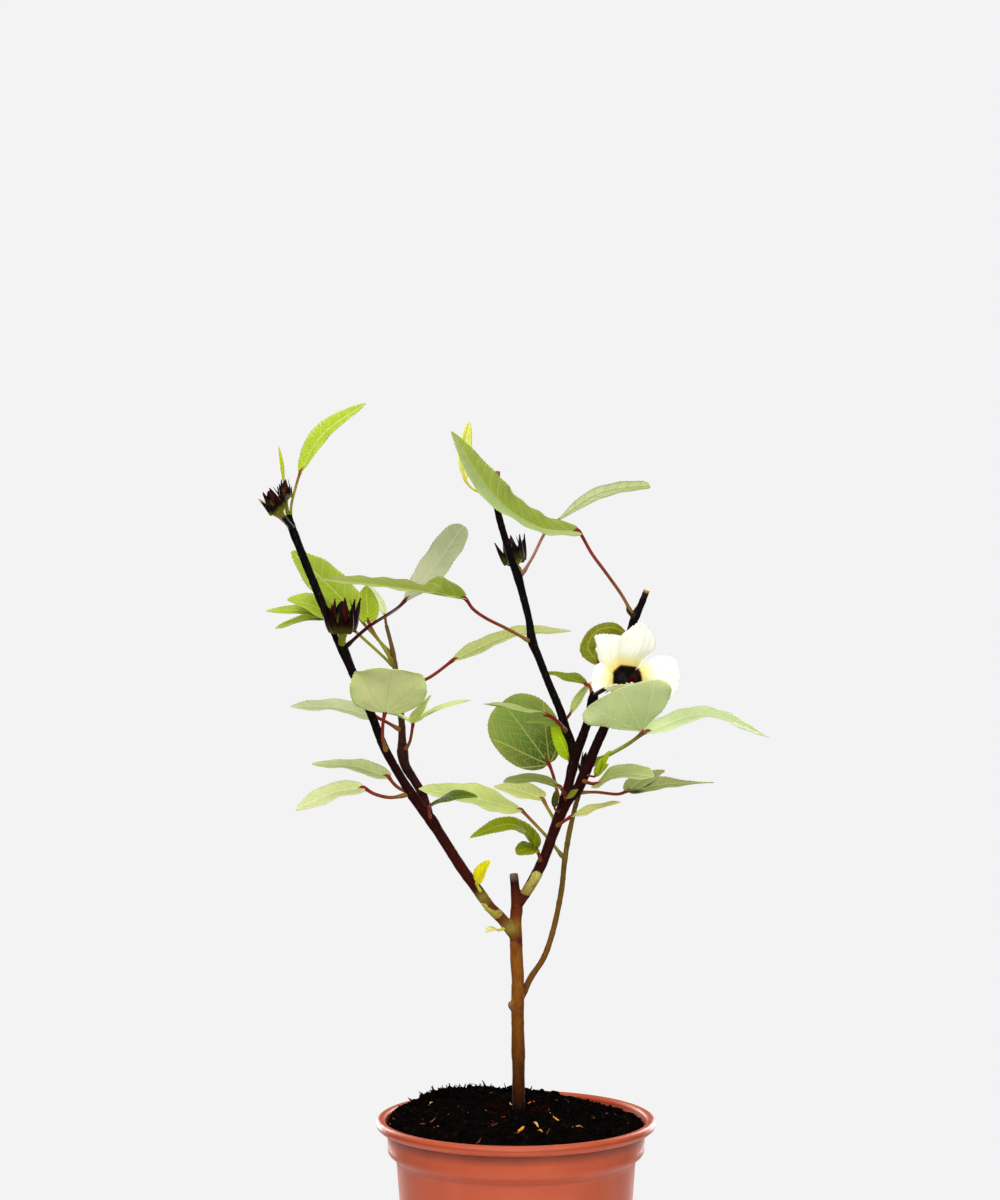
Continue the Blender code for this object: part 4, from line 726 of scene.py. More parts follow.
class Paint:
    """A material under construction: short calls that add its nodes."""

    def __init__(self, name, specular):
        self.material = bpy.data.materials.new(name)
        self.material.use_nodes = True
        self.tree = self.material.node_tree
        self.shader = self.tree.nodes["Principled BSDF"]
        self.shader.inputs["Specular IOR Level"].default_value = specular

    def node(self, kind, inputs, output=0, **settings):
        node = self.tree.nodes.new("ShaderNode" + kind)
        for label, value in settings.items():
            setattr(node, label, value)
        for label, value in inputs.items():
            wire(self.tree, value, node.inputs[label])
        return Field(self.tree, node.outputs[output])

    def value(self, name):
        """A named value of the mesh, as a colour or vector."""
        return self.node("Attribute", {}, output=1, attribute_name=name)

    def split(self, vector):
        node = self.tree.nodes.new("ShaderNodeSeparateXYZ")
        wire(self.tree, vector, node.inputs[0])
        return [Field(self.tree, socket) for socket in node.outputs]

    def join(self, *parts):
        return self.node("CombineXYZ", dict(enumerate(parts)))

    def where(self, stretch=(1, 1, 1)):
        """The place on the object in millimetres, stretched."""
        place = self.node("TexCoord", {}, output=3)
        scale = tuple(s / MM for s in stretch)
        return self.node("VectorMath", {0: place, 1: scale}, operation="MULTIPLY")

    def noise(self, vector, size, detail=3.0):
        """Soft noise from 0 to 1 with patches of about this size."""
        inputs = {"Vector": vector, "Scale": 1 / size, "Detail": detail, "Roughness": 0.55}
        return self.node("TexNoise", inputs)

    def cells(self, vector, size):
        """The distance to the nearest middle of cells of about this size."""
        return self.node("TexVoronoi", {"Vector": vector, "Scale": 1 / size})

    def mix(self, share, first, second, mode="MIX"):
        node = self.tree.nodes.new("ShaderNodeMix")
        node.data_type = "RGBA"
        node.blend_type = mode
        for entry, value in zip((node.inputs[0], node.inputs[6], node.inputs[7]), (share, first, second)):
            wire(self.tree, value if isinstance(value, (Field, float, int)) else (*value, 1.0), entry)
        return Field(self.tree, node.outputs[2])

    def coats(self, colour, *layers):
        """The colour under layers of (share, sRGB colour)."""
        for share, tint in layers:
            colour = self.mix(share, colour, linear(tint))
        return colour

    def times(self, colour, factors):
        return self.mix(1.0, colour, factors, "MULTIPLY")

    def shade(self, colour, share, factors):
        """The colour, taken by a share to itself times the factors."""
        return self.mix(share, colour, self.times(colour, factors))

    def bump(self, *layers):
        """Relief from (height field, depth in millimetres) layers."""
        normal = None
        for height, depth in layers:
            inputs = {"Height": height, "Distance": depth * MM, "Strength": 1.0}
            if normal:
                inputs["Normal"] = normal
            normal = self.node("Bump", inputs)
        return normal

    def done(self, colour, roughness, *relief):
        """The finished material, with relief from (height field, depth in millimetres) layers."""
        wire(self.tree, colour, self.shader.inputs["Base Color"])
        wire(self.tree, roughness, self.shader.inputs["Roughness"])
        wire(self.tree, self.bump(*relief), self.shader.inputs["Normal"])
        return self.material


def leaf_paint(name, palmate):
    """Both sides of a blade: veins from the place on it, mottling, and relief along the veins."""
    paint = Paint(name, 0.12)
    across, along, spacing = paint.split(paint.value("place"))
    flat = paint.join(across, along, 0.0)
    wobble = (paint.noise(flat, 9.0, 1.0) - 0.5) * 2.2
    if palmate:
        reach = (across * across + along * along).math("SQRT")
        swing = across.math("ARCTAN2", along).to_line(FAN_ANGLE) * FAN_ANGLE
        rib = (swing * reach).size()
        branch = reach - rib * 1.15
    else:
        rib = across.size()
        branch = along - rib * 0.85
    main = rib.peak(0.74)
    side = (((branch + wobble) / spacing).to_line(1.0) * spacing).peak(0.42)
    small = ((along * 0.6 + across.size() * 1.1 + wobble * 2.0) / 3.1).to_line(1.0).peak(0.14)
    line = main.math("MAXIMUM", side * 0.72)
    netted = line.math("MAXIMUM", small * 0.28)
    patch = paint.noise(flat, 14.0, 2.0)
    grain = paint.noise(flat, 2.2, 2.0)
    colour = paint.shade(paint.value("tint"), patch.between(0.35, 0.75) * 0.5, (0.70, 0.82, 0.55))
    colour = paint.shade(colour, grain.between(0.3, 0.7) * 0.14, (0.62, 0.66, 0.55))
    colour = paint.mix(netted * 0.9, colour, paint.value("vein"))
    return paint.done(colour, patch * 0.16 + 0.36 + line * 0.1, (line, -0.16), (patch, 0.15))


def stalk_paint(name):
    """Petioles, bracts and stalks: their tint with fine lengthwise streaks and dark patches."""
    paint = Paint(name, 0.06)
    streak = paint.noise(paint.where((1, 1, 0.22)), 0.8, 2.0)
    patch = paint.noise(paint.where(), 5.0)
    colour = paint.shade(paint.value("tint"), streak.between(0.35, 0.8) * 0.35, (1.7, 1.25, 1.1))
    colour = paint.shade(colour, patch.between(0.4, 0.75) * 0.35, (0.5, 0.45, 0.5))
    return paint.done(colour, patch * 0.2 + 0.42, (streak, 0.16), (patch, 0.2))


def bark_paint():
    """Smooth young bark: fine lengthwise cracks, dark patches and pale pores."""
    paint = Paint("bark", 0.05)
    streak = paint.noise(paint.where((1, 1, 0.16)), 0.9, 4.0)
    patch = paint.noise(paint.where((1, 1, 0.5)), 6.0, 4.0)
    pores = paint.cells(paint.where((1, 1, 0.45)), 2.6).between(0.22, 0.10)
    tint = paint.value("tint")
    light = paint.times(tint, (1.6, 1.5, 1.4))
    colour = paint.mix(streak.between(0.42, 0.70) * 0.55, tint, light)
    colour = paint.mix(patch.between(0.48, 0.72) * 0.6, colour, paint.times(tint, (0.35, 0.28, 0.30)))
    colour = paint.mix(pores * 0.30, colour, paint.mix(0.35, light, (0.30, 0.22, 0.12)))
    return paint.done(colour, streak * 0.2 + 0.62, (streak, 0.35), (patch, 0.3), (pores, 0.25))


def pot_paint():
    """Moulded terracotta-coloured plastic: a soft skin, faint streaks and specks, painted shade under the lip
    and at the step, and a painted dark reflection on the lip's front.
    """
    paint = Paint("pot", 0.42)
    streak = paint.noise(paint.where((0.15, 0.15, 0.006)), 1.6, 2.0)
    cloud = paint.noise(paint.where(), 26.0, 4.0)
    skin = paint.noise(paint.where(), 0.5, 2.0)
    specks = paint.cells(paint.where(), 4.5).between(0.075, 0.03)
    height = paint.split(paint.where())[2]
    # Painted shadow under the lip: the neck darkens towards the lip's underside and stops at the lip
    lip = height.between(LIP_UNDER - 8.5, LIP_UNDER - 1.0) * height.between(LIP_UNDER, LIP_UNDER - 0.4)
    # Painted dark reflection: a darker orange line round the front of the lip's roll
    lip_dark_reflection = (height - (POT_HEIGHT - 3.3)).peak(1.3)
    # Painted shade: a dark line along the step between the shoulder and the neck
    step_shade = (height - STEP_HEIGHT).peak(1.5)
    # The coats after the specks are painted shadow under the lip, a painted dark reflection on the lip and
    # painted shade at the step
    colour = paint.coats(
        linear((202, 92, 57)), (cloud.between(0.3, 0.7), (193, 82, 49)),
        (streak.between(0.45, 0.75) * 0.3, (188, 78, 50)), (specks * 0.4, (110, 48, 30)),
        (lip * (cloud * 0.6 + 0.5), (98, 34, 12)), (lip_dark_reflection * 0.6, (160, 54, 14)), (step_shade * 0.45, (140, 58, 36)))
    rough = streak * 0.10 + 0.30 + cloud * 0.10
    return paint.done(colour, rough, (streak, 0.06), (skin, 0.03), (specks, 0.05))


def soil_paint():
    """Damp dark potting soil, with lighter crumbs and darker patches."""
    paint = Paint("soil", 0.0)
    grit = paint.noise(paint.where(), 1.1, 5.0)
    patch = paint.noise(paint.where(), 9.0)
    colour = paint.coats(paint.value("tint"), (grit.between(0.5, 0.8) * 0.5, (26, 18, 15)))
    colour = paint.shade(colour, patch.between(0.45, 0.7) * 0.7, (0.3, 0.3, 0.32))
    return paint.done(colour, grit * 0.3 + 0.62, (grit, 0.5))


def chip_paint():
    """Bark chips and straw: their tint with a fine darker grain."""
    paint = Paint("chip", 0.3)
    grain = paint.noise(paint.where((1, 1, 2.5)), 0.6, 4.0)
    colour = paint.shade(paint.value("tint"), grain.between(0.4, 0.7) * 0.5, (0.42, 0.32, 0.22))
    return paint.done(colour, grain * 0.2 + 0.5, (grain, 0.25))


def petal_paint():
    """Cream petals with fine fanned veins, a yellow glow at the throat and a dark eye."""
    paint = Paint("petal", 0.2)
    across, reach, along = paint.split(paint.value("place"))
    flat = paint.join(across, reach, 0.0)
    fan = across / (reach * 0.035 + 0.5)
    veins = (fan + (paint.noise(flat, 6.0, 2.0) - 0.5) * 1.2).to_line(2.4).peak(0.12)
    jag = (paint.noise(paint.join(across * 1.6, along * 0.1, 0.0), 1.3, 2.0) - 0.5) * 2.6
    inward = reach * -1.0 - jag
    colour = paint.coats(
        linear((254, 254, 244)), (paint.noise(flat, 12.0).between(0.3, 0.7), (255, 253, 236)),
        (inward.between(-24.0, -10.5), (254, 238, 112)), (veins * 0.12, (236, 218, 150)),
        (inward.between(-12.6, -11.2), (110, 12, 10)), (inward.between(-11.4, -10.2), (10, 5, 5)))
    grain = paint.noise(flat, 0.8, 2.0)
    return paint.done(colour, grain * 0.1 + 0.5, (veins, 0.18), (grain, 0.04))


def fold_angle(stops, t, phase):
    """How far a half of a blade is folded up, in radians, along its length."""
    if stops is None:
        return np.arctan(0.16 + 0.09 * np.sin(phase + 9 * t))
    shares, degrees = zip(*stops)
    return np.radians(np.interp(t, shares, degrees))


def leaf_blade(shape, midrib, face, width, outline, phase, colours, form):
    """Adds a fine toothed blade, with its fold and waves, raised side veins and a stout midrib."""
    rise, fall, sweep = outline
    peak = rise / (rise + fall)
    fullest = peak ** rise * (1 - peak) ** fall
    curve = smooth(places(midrib))
    length = travelled(curve)[-1]
    rows = max(int(length / ROW), 14)
    columns = min(max(int(width / 1.5), 9), 25) | 1
    path = spaced(curve, rows)
    headings = directions(path)
    rights = unit(np.cross(headings, unit(np.array(face, float))))
    ups = np.cross(rights, headings)
    t = np.linspace(0.012, 0.998, rows)[:, None]
    along = t * length
    side = np.linspace(-1, 1, columns)[None, :]
    wider = np.where(side < 0, form.get("sides", 1.0), 2 - form.get("sides", 1.0))
    half = width / 2 * t ** rise * (1 - t) ** fall / fullest * wider
    reach = np.abs(side)

    # The teeth, each a few rows long, with sizes drawn for both edges
    draw = np.random.RandomState(int(phase * 1000))
    row = np.arange(rows)[:, None]
    bite = ((row + (side > 0) * 2) % TOOTH_ROWS / (TOOTH_ROWS - 1)) ** 1.3
    sizes = draw.uniform(0.45, 1.25, (rows // TOOTH_ROWS + 2, 2))
    bite = bite * np.where(side > 0, sizes[(row + 2) // TOOTH_ROWS, 1], sizes[row // TOOTH_ROWS, 0])
    fade = np.clip((t - 0.10) * 9, 0, 1) * np.clip((1 - t) * 12, 0.25, 1)
    tooth = TOOTH * form.get("teeth", 1.0) * min(1.0, width / 16) * bite * fade * reach ** 8
    spread = reach * half + tooth

    # The fold along the midrib, the waves, and the bulge between the side veins
    left = fold_angle(form.get("left"), t, phase)
    right = fold_angle(form.get("right"), t, phase + 2.2)
    fold = np.where(side > 0, right, left)
    curl = form.get("curl", 0.0) * reach
    across = np.sign(side) * spread * np.cos(fold + curl)
    spacing = min(max(length / 9, 3.2), 9.0)
    quilt = np.abs(np.sin(math.pi * (along - spread * 0.85) / spacing))
    lift = spread * np.sin(fold + curl)
    wave = form.get("wave", 1.0)
    lift = lift + wave * half * 0.035 * np.sin(along / 3.1 + phase * 3 + np.sign(side)) * reach ** 4
    lift = lift + wave * half * 0.030 * np.sin(along / 7.3 + phase * 5 - np.sign(side)) * reach ** 2
    lift = lift + BULGE * quilt * reach ** 0.5 * (1 - reach ** 6) * min(1.0, width / 20)
    back = sweep * half * (1 - t) ** 3 * reach ** 1.3
    top = path[:, None] + rights[:, None] * across[..., None] + ups[:, None] * lift[..., None]
    top = top - headings[:, None] * back[..., None]

    # The underside, with the midrib and the side veins
    ridge = MIDRIB * np.exp(-(spread / 0.8) ** 2) * (1 - 0.75 * t) * min(1.0, width / 14)
    thick = SHEET + ridge + SIDE_VEIN * (1 - quilt) ** 2 * (1 - reach ** 4)
    tilt = (np.sign(side) * np.sin(fold))[..., None]
    low = top - (ups[:, None] * np.cos(fold)[..., None] - rights[:, None] * tilt) * thick[..., None]

    # The tint, which nears the colour of the veins at the edge
    near, far, vein = [linear(colour) for colour in colours]
    tint = blend(near, far, np.broadcast_to(t, across.shape))
    if "left_tint" in form:
        tint = np.where((side < 0)[..., None], np.array(linear(form["left_tint"])), tint)
    edge = np.clip(reach ** 2 * 0.22 + np.clip((reach - 0.88) * 8, 0, 1) * 0.22, 0, 1)
    tint = blend(tint, vein, edge)
    spot = np.stack([np.sign(side) * spread, along + 0 * across, spacing + 0 * across], -1)
    shape.skin(around(top, low), tint=around(tint, tint), vein=vein, place=around(spot, spot))


def petiole(shape, name, stalk, midrib, radius):
    """Adds a leaf's round stalk, swollen where it leaves the stem and where it meets the blade."""
    rib = smooth(places(midrib))
    inside = rib[np.searchsorted(travelled(rib), 3.0)]
    path = stepped(smooth(places(stalk) + [rib[0], inside]), 12)
    far = travelled(path)
    swell = 1 + 0.45 * np.exp(-((far - 5) / 3.5) ** 2) + 0.28 * np.exp(-((far[-1] - 5 - far) / 3.0) ** 2)
    taper = np.clip((far[-1] - far) / 3.5, 0.25, 1.0)
    path = np.column_stack([path, radius * swell * taper])
    colours = STALKS.get(name, RED_STALK)
    tint = coloured(far / far[-1], np.linspace(0, 1, len(colours)), colours)
    shape.rod(path, (0.3, 1.0, 0.1), PETIOLE_SIDES, tint, STALK_FINISH)


def make_leaves():
    """Each leaf as a petiole with one blade, or with lobes from a shared base."""
    stalk_finish = stalk_paint("stalk")
    paints = [leaf_paint("leaf_plain", False), stalk_finish]
    palmate_paints = [leaf_paint("leaf_fanned", True), stalk_finish]
    for name, (stalk, midrib, face, width, outline, *colours) in LEAVES.items():
        shape = Shape()
        phase = random.Random(name).uniform(0, 6.28)
        leaf_blade(shape, midrib, face, width, outline, phase, colours, FORMS.get(name, {}))
        petiole(shape, name, stalk, midrib, min(PETIOLE_RADIUS, 0.5 + width / 25))
        shape.make(name + "_fine", palmate_paints if name in PALMATE else paints, [name])
    for name, (stalk, base, lobes, face, *colours) in LOBED_LEAVES.items():
        shape = Shape()
        phase = random.Random(name).uniform(0, 6.28)
        for number, (lobe, width, outline) in enumerate(lobes):
            tilt = np.array(face) + np.array((0.05, 0.03, 0)) * number
            leaf_blade(shape, [base] + lobe, tilt, width, outline, phase + number, colours, {})
        first, width, _ = lobes[0]
        petiole(shape, name, stalk, [base] + first, 1.15 if width > 10 else 0.7)
        shape.make(name + "_fine", paints, [name])


def make_stem():
    """The trunk and its branches as one smooth skin, swollen at its nodes."""
    nodes = np.array([place(*leaf[0][0]) for leaf in [*LEAVES.values(), *LOBED_LEAVES.values()]])
    shape = Shape()
    samples = []
    draw = np.random.RandomState(5)
    for name, points in STEMS.items():
        rows = [[*place(across, up, back), radius, up] for across, up, back, radius in points]
        curve = stepped(smooth(rows), 6)
        curve[:, 2] = np.maximum(curve[:, 2], TRUNK_FOOT)
        seen_height = curve[:, 4]
        far = travelled(curve)
        gaps = np.linalg.norm(curve[:, None, :3] - nodes[None], axis=2).min(1)
        radius = curve[:, 3] * (1 + 0.07 * np.exp(-(gaps / 4.0) ** 2))

        # Leaf scars along all but the resting buds, each a ridge with a groove beyond it
        if not name.endswith("_bud"):
            spot = draw.uniform(8, 14)
            while spot < far[-1] - 6:
                radius = radius + SCAR_RIDGE * np.exp(-((far - spot) / 1.1) ** 2)
                radius = radius - SCAR_GROOVE * np.exp(-((far - spot - 2.4) / 1.2) ** 2)
                spot += draw.uniform(18, 34)
        radius = radius + 0.05 * np.sin(far / 3.7 + draw.uniform(0, 6)) + 0.04 * np.sin(far / 1.9)
        path = np.column_stack([curve[:, :3], radius])
        shape.skin(tube(path, (1, 0.05, 0), BARK_SIDES))

        # The bark's colour by height, tinted round the nodes of the old wood
        tint = coloured(seen_height, *zip(*BARK[name]))
        old = np.clip((OLD_WOOD_TOP - seen_height) / 12, 0, 1)
        tint = blend(tint, linear(NODE_TINT), np.exp(-(gaps / 6.0) ** 2) * old * 0.7)
        samples += list(zip(path[:, :3].tolist(), tint.tolist()))
    thing = shape.make("stem_fine", [bark_paint()], ["stem"])
    remesh = thing.modifiers.new("join", "REMESH")
    remesh.mode = "VOXEL"
    remesh.voxel_size = BARK_VOXEL * MM
    softened = thing.modifiers.new("soften", "SMOOTH")
    softened.factor = 0.5
    softened.iterations = 3
    apply_modifiers(thing)
    mesh = thing.data
    tree = KDTree(len(samples))
    for number, (point, _) in enumerate(samples):
        tree.insert(point, number)
    tree.balance()
    tints = [samples[tree.find(vertex.co / MM)[1]][1] for vertex in mesh.vertices]
    layer = mesh.attributes.get("tint") or mesh.attributes.new("tint", "FLOAT_VECTOR", "POINT")
    layer.data.foreach_set("vector", np.array(tints, np.float32).ravel())
    mesh.shade_smooth()


def arc(centre, radius, start, end, steps):
    """Points of an arc in the (radius, height) plane, in degrees."""
    angles = np.radians(np.linspace(start, end, steps + 1))
    return [(centre[0] + radius * math.cos(a), centre[1] + radius * math.sin(a)) for a in angles]


def inner_wall():
    """The pot's inner side from the floor up to the mouth, as (radius, height) points."""
    return [
        (BASE_RADIUS - WALL - 1.0, FLOOR_TOP), (BASE_RADIUS - WALL + 0.4, FLOOR_TOP + 3),
        (SHOULDER_RADIUS - WALL, STEP_HEIGHT - 1), (NECK_RADIUS - WALL - 0.8, STEP_HEIGHT + 6),
        (NECK_RADIUS - WALL, STEP_HEIGHT + 10), (MOUTH_RADIUS - WALL, LIP_UNDER),
    ]


def turned(profile, sides):
    """Points and faces of a profile of (radius, height) points, turned about the pot's axis."""
    angles = 2 * math.pi * np.arange(sides) / sides
    points, faces, rows = [], [], []
    for radius, height in profile:
        start = len(points)
        if radius < 1e-6:
            points.append((0, 0, height))
            rows.append([start] * sides)
            continue
        points += [(*on_circle(radius, angle), height) for angle in angles]
        rows.append(list(range(start, start + sides)))
    for low, high in zip(rows, rows[1:]):
        for i in range(sides):
            corners = [low[i], low[(i + 1) % sides], high[(i + 1) % sides], high[i]]
            faces.append([c for k, c in enumerate(corners) if c != corners[k - 1]])
    return np.array(points, float), faces


def make_pot():
    """The pot, with rounded mouldings and drain holes through its raised channel."""
    lip = (RIM_RADIUS - MOUTH_RADIUS) / 2
    crest = (MOUTH_RADIUS + lip, POT_HEIGHT - lip)
    profile = [
        (0, 0), (CHANNEL_INNER - 3, 0), (CHANNEL_INNER, CHANNEL_HEIGHT), (CHANNEL_OUTER, CHANNEL_HEIGHT),
        (CHANNEL_OUTER + 3, 0), (BASE_RADIUS - 1.5, 0), (BASE_RADIUS, 1.5), (BASE_RADIUS + 0.35, 4),
        (SHOULDER_RADIUS - 2.7, 102), (SHOULDER_RADIUS - 2.3, 108),
        (SHOULDER_RADIUS - 0.3, STEP_HEIGHT - 3), (SHOULDER_RADIUS + 0.4, STEP_HEIGHT),
        (SHOULDER_RADIUS + 2.4, STEP_HEIGHT + 2.4), (NECK_RADIUS - 1.2, STEP_HEIGHT + 4.4),
        (NECK_RADIUS - 0.1, STEP_HEIGHT + 6.2), (NECK_RADIUS, STEP_HEIGHT + 9),
        (NECK_RADIUS + 0.5, LIP_UNDER - 1.0), (NECK_RADIUS + 1.0, LIP_UNDER),
        (RIM_RADIUS - 4.4, LIP_UNDER + 0.1), (RIM_RADIUS - 2.4, LIP_UNDER + 0.7),
        (RIM_RADIUS - 0.9, LIP_UNDER + 2.0), (RIM_RADIUS - 0.2, LIP_UNDER + 3.4),
    ]
    profile += arc(crest, lip, 0, 180, 14) + inner_wall()[::-1] + [(0, FLOOR_TOP)]
    shape = Shape()
    shape.add(*turned(profile, POT_SIDES))
    pot = shape.make("pot_fine", [pot_paint()], ["pot"])
    points, faces = turned([(0, -2), (DRAIN_RADIUS, -2), (DRAIN_RADIUS, 8), (0, 8)], 24)
    for k in range(DRAINS):
        x, y = on_circle((CHANNEL_INNER + CHANNEL_OUTER) / 2, math.radians(30 + 360 * k / DRAINS))
        drill(pot, add_mesh("cutter", points + (x, y, 0), faces))
    pot.data.set_sharp_from_angle(angle=math.radians(50))


def drill(thing, cutter):
    """Cuts a closed object out of another, and removes it."""
    modifier = thing.modifiers.new("drill", "BOOLEAN")
    modifier.operation = "DIFFERENCE"
    modifier.object = cutter
    apply_modifiers(thing)
    bpy.data.objects.remove(cutter)


def soil_height(x, y):
    """The top of the soil: a low mound at the trunk, heaps behind and at the brim, and lumps."""
    share = min(math.hypot(x, y) / MOUTH_RADIUS, 1.0)
    turn = math.degrees(math.atan2(y, x)) % 360
    heap = sum(high * math.exp(-((x - across) / wide) ** 2 - ((y - back) / deep) ** 2)
               for across, back, wide, deep, high in HEAPS)
    brim = sum(high * math.exp(-((turn - middle) / wide) ** 2) for middle, wide, high in BRIM_HEAPS)
    heap += brim * max(share - 0.6, 0.0) / 0.4
    lumps = 1.3 * math.sin(0.21 * x + 1.3) * math.sin(0.19 * y + 0.4)
    lumps += 0.9 * math.sin(0.43 * x - 0.31 * y)
    return SOIL_EDGE_HEIGHT + MOUND * (1 - share ** 2) + heap + lumps * (1 - share ** 6)


def crumbled(x, y):
    """The soil's top with its crumbs."""
    spot = Vector((x * 0.16, y * 0.16, 0.0))
    coarse = noise.fractal(spot, 0.7, 2.1, 5)
    share = min(math.hypot(x, y) / MOUTH_RADIUS, 1.0)
    return soil_height(x, y) + 1.5 * coarse * (1 - share ** 10)


def make_soil():
    """The soil from the pot's floor to its crumbly top, with loose grains on it."""
    wall = [(radius - SOIL_GAP, height + SOIL_GAP) for radius, height in inner_wall()]
    edge = MOUTH_RADIUS - WALL - SOIL_GAP
    unset = -1.0
    rings = [(edge * (1 - k / SOIL_RINGS), unset) for k in range(SOIL_RINGS + 1)]
    points, faces = turned([(0, FLOOR_TOP + SOIL_GAP)] + wall + rings, SOIL_SIDES)
    for point in points:
        if point[2] == unset:
            point[2] = crumbled(point[0], point[1])
    shape = Shape()
    shape.add(points, faces, tint=SOIL_TINT)
    draw = random.Random(21)
    for _ in range(GRANULES):
        radius = edge * math.sqrt(draw.random()) * 0.985
        x, y = on_circle(radius, draw.uniform(0, 2 * math.pi))
        size = draw.choice((0.5, 0.8, 0.8, 1.1, 1.1, 1.5, 2.1)) * draw.uniform(0.7, 1.3)
        size = min(size, edge - radius + 0.3)
        middle = np.array((x, y, crumbled(x, y) + size * draw.uniform(-0.2, 0.55)))
        tone = draw.choice(((14, 10, 9), (10, 8, 8), (18, 13, 11), (26, 17, 13), (8, 7, 7)))
        crumb(shape, middle, size, draw, linear(tone))
    shape.make("soil_fine", [soil_paint()], ["soil"])


# The points and faces of an icosahedron
GOLDEN = (1 + math.sqrt(5)) / 2
ICO_POINTS = unit(np.array([
    (-1, GOLDEN, 0), (1, GOLDEN, 0), (-1, -GOLDEN, 0), (1, -GOLDEN, 0), (0, -1, GOLDEN), (0, 1, GOLDEN),
    (0, -1, -GOLDEN), (0, 1, -GOLDEN), (GOLDEN, 0, -1), (GOLDEN, 0, 1), (-GOLDEN, 0, -1), (-GOLDEN, 0, 1),
], float))
ICO_FACES = [
    (0, 11, 5), (0, 5, 1), (0, 1, 7), (0, 7, 10), (0, 10, 11), (1, 5, 9), (5, 11, 4), (11, 10, 2),
    (10, 7, 6), (7, 1, 8), (3, 9, 4), (3, 4, 2), (3, 2, 6), (3, 6, 8), (3, 8, 9), (4, 9, 5),
    (2, 4, 11), (6, 2, 10), (8, 6, 7), (9, 8, 1),
]


def crumb(shape, middle, size, draw, tint):
    """Adds an uneven grain."""
    spread = np.array([[draw.uniform(0.7, 1.25)] for _ in ICO_POINTS])
    stretch = np.array([draw.uniform(0.6, 1.3), draw.uniform(0.6, 1.3), draw.uniform(0.5, 1.0)])
    shape.add(middle + ICO_POINTS * spread * stretch * size, ICO_FACES, tint=tint)


def on_soil(across, up):
    """Where the front view's (across, up) meets the top of the soil, as (x, y)."""
    back = 0.0
    for _ in range(60):
        x, y, z = place(across, up, back)
        back += 2.4 * (z - crumbled(x, y))
        back = min(max(back, -LITTER_LIMIT), LITTER_LIMIT)
    return place(across, up, back)[:2]


def make_litter():
    """Chips where the front view shows them, then loose chips, needles, fibres and shards."""
    draw = random.Random(4)
    whole_turn = 2 * math.pi
    chips = Shape()
    fibres = Shape()
    for across, up, turn, length, thick, colour in CHIPS:
        lay(chips, on_soil(across, up), math.radians(turn), length, thick, 0.5, draw, linear(colour), 7)
    for _ in range(LOOSE_CHIPS):
        spot = on_circle(90 * math.sqrt(draw.uniform(0.02, 1)), draw.uniform(0, whole_turn))
        colour = draw.choice(((92, 34, 16), (120, 60, 24), (70, 24, 14)))
        lay(chips, spot, draw.uniform(0, math.pi), draw.uniform(1.2, 3.4), draw.uniform(0.2, 0.5), 0.4,
            draw, linear(colour), 5)
    for number in range(NEEDLES):
        angle = whole_turn * number / NEEDLES + draw.uniform(-0.15, 0.15)
        spot = on_circle(draw.uniform(13, 22), angle)
        lay(fibres, spot, angle, draw.uniform(5, 10), 0.4, 0.7, draw, linear((64, 14, 10)), 6)
    for _ in range(FIBRES):
        spot = on_circle(LITTER_LIMIT * math.sqrt(draw.random()), draw.uniform(0, whole_turn))
        lay(fibres, spot, draw.uniform(0, math.pi), draw.uniform(1.5, 5.0), draw.uniform(0.15, 0.4),
            draw.uniform(0.0, 0.8), draw, SOIL_TINT, 4)
    for _ in range(SHARDS):
        angle = math.radians(draw.gauss(127, 18))
        spot = on_circle(draw.uniform(78, 93), angle)
        lay(fibres, spot, draw.uniform(0, whole_turn), draw.uniform(1.8, 4.8), draw.uniform(0.6, 1.3),
            draw.uniform(0.8, 2.6), draw, SOIL_TINT, 5)
    chips.make("chips", [chip_paint()])
    fibres.make("fibres", [soil_paint()])


def lay(shape, spot, turn, length, thick, rise, draw, tint, sides):
    """Adds a bent splinter that lies on the soil, one end raised by a share of its half length."""
    limit = MOUTH_RADIUS - WALL - 1.5
    rows = []
    for share in np.linspace(-1, 1, 6):
        px = spot[0] + math.cos(turn) * length * share + draw.uniform(-0.07, 0.07) * length
        py = spot[1] + math.sin(turn) * length * share + draw.uniform(-0.07, 0.07) * length
        reach = math.hypot(px, py)
        if reach > limit:
            px, py = px * limit / reach, py * limit / reach
        pz = crumbled(px, py) + thick * 0.5 + rise * length * max(share, 0) ** 1.3 * 0.5
        rows.append((px, py, pz, thick * (1 - 0.8 * max(share, 0) ** 1.5) * (1 - 0.4 * max(-share, 0))))
    shape.rod(rows, (0.05, 0.03, 1), sides, tint)


def spike(shape, root, heading, length, width, bend, tints, taper=0.7, cup=0.25, thick=0.6):
    """Adds a pointed lobe: a thin channelled blade that narrows to its tip and bends as it goes."""
    rows, columns = 14, 5
    t = np.linspace(0, 1, rows)
    path = root + np.outer(t * length, heading) + np.outer(t * t * length * 0.35, bend)
    headings = directions(path)
    sideways = np.cross(heading, bend)
    if np.linalg.norm(sideways) < 0.05:
        sideways = np.cross(heading, (0.3, 0.2, 1))
    rights = carried(headings, unit(sideways))
    ups = np.cross(rights, headings)
    half = width / 2 * np.minimum(0.7 + 1.6 * t, 1.0) * np.clip(1 - t, 0.02, 1) ** taper
    side = np.linspace(-1, 1, columns)
    top = path[:, None] + rights[:, None] * (half[:, None] * side)[..., None]
    top = top + ups[:, None] * (half[:, None] * cup * side ** 2)[..., None]
    low = top - ups[:, None] * (thick * np.clip(1.2 - t, 0.3, 1))[:, None, None]
    tint = blend(linear(tints[0]), linear(tints[1]), np.clip(t * 2.4, 0, 1))
    shape.skin(around(top, low), tint=np.repeat(tint[:, None], columns * 2, 1))


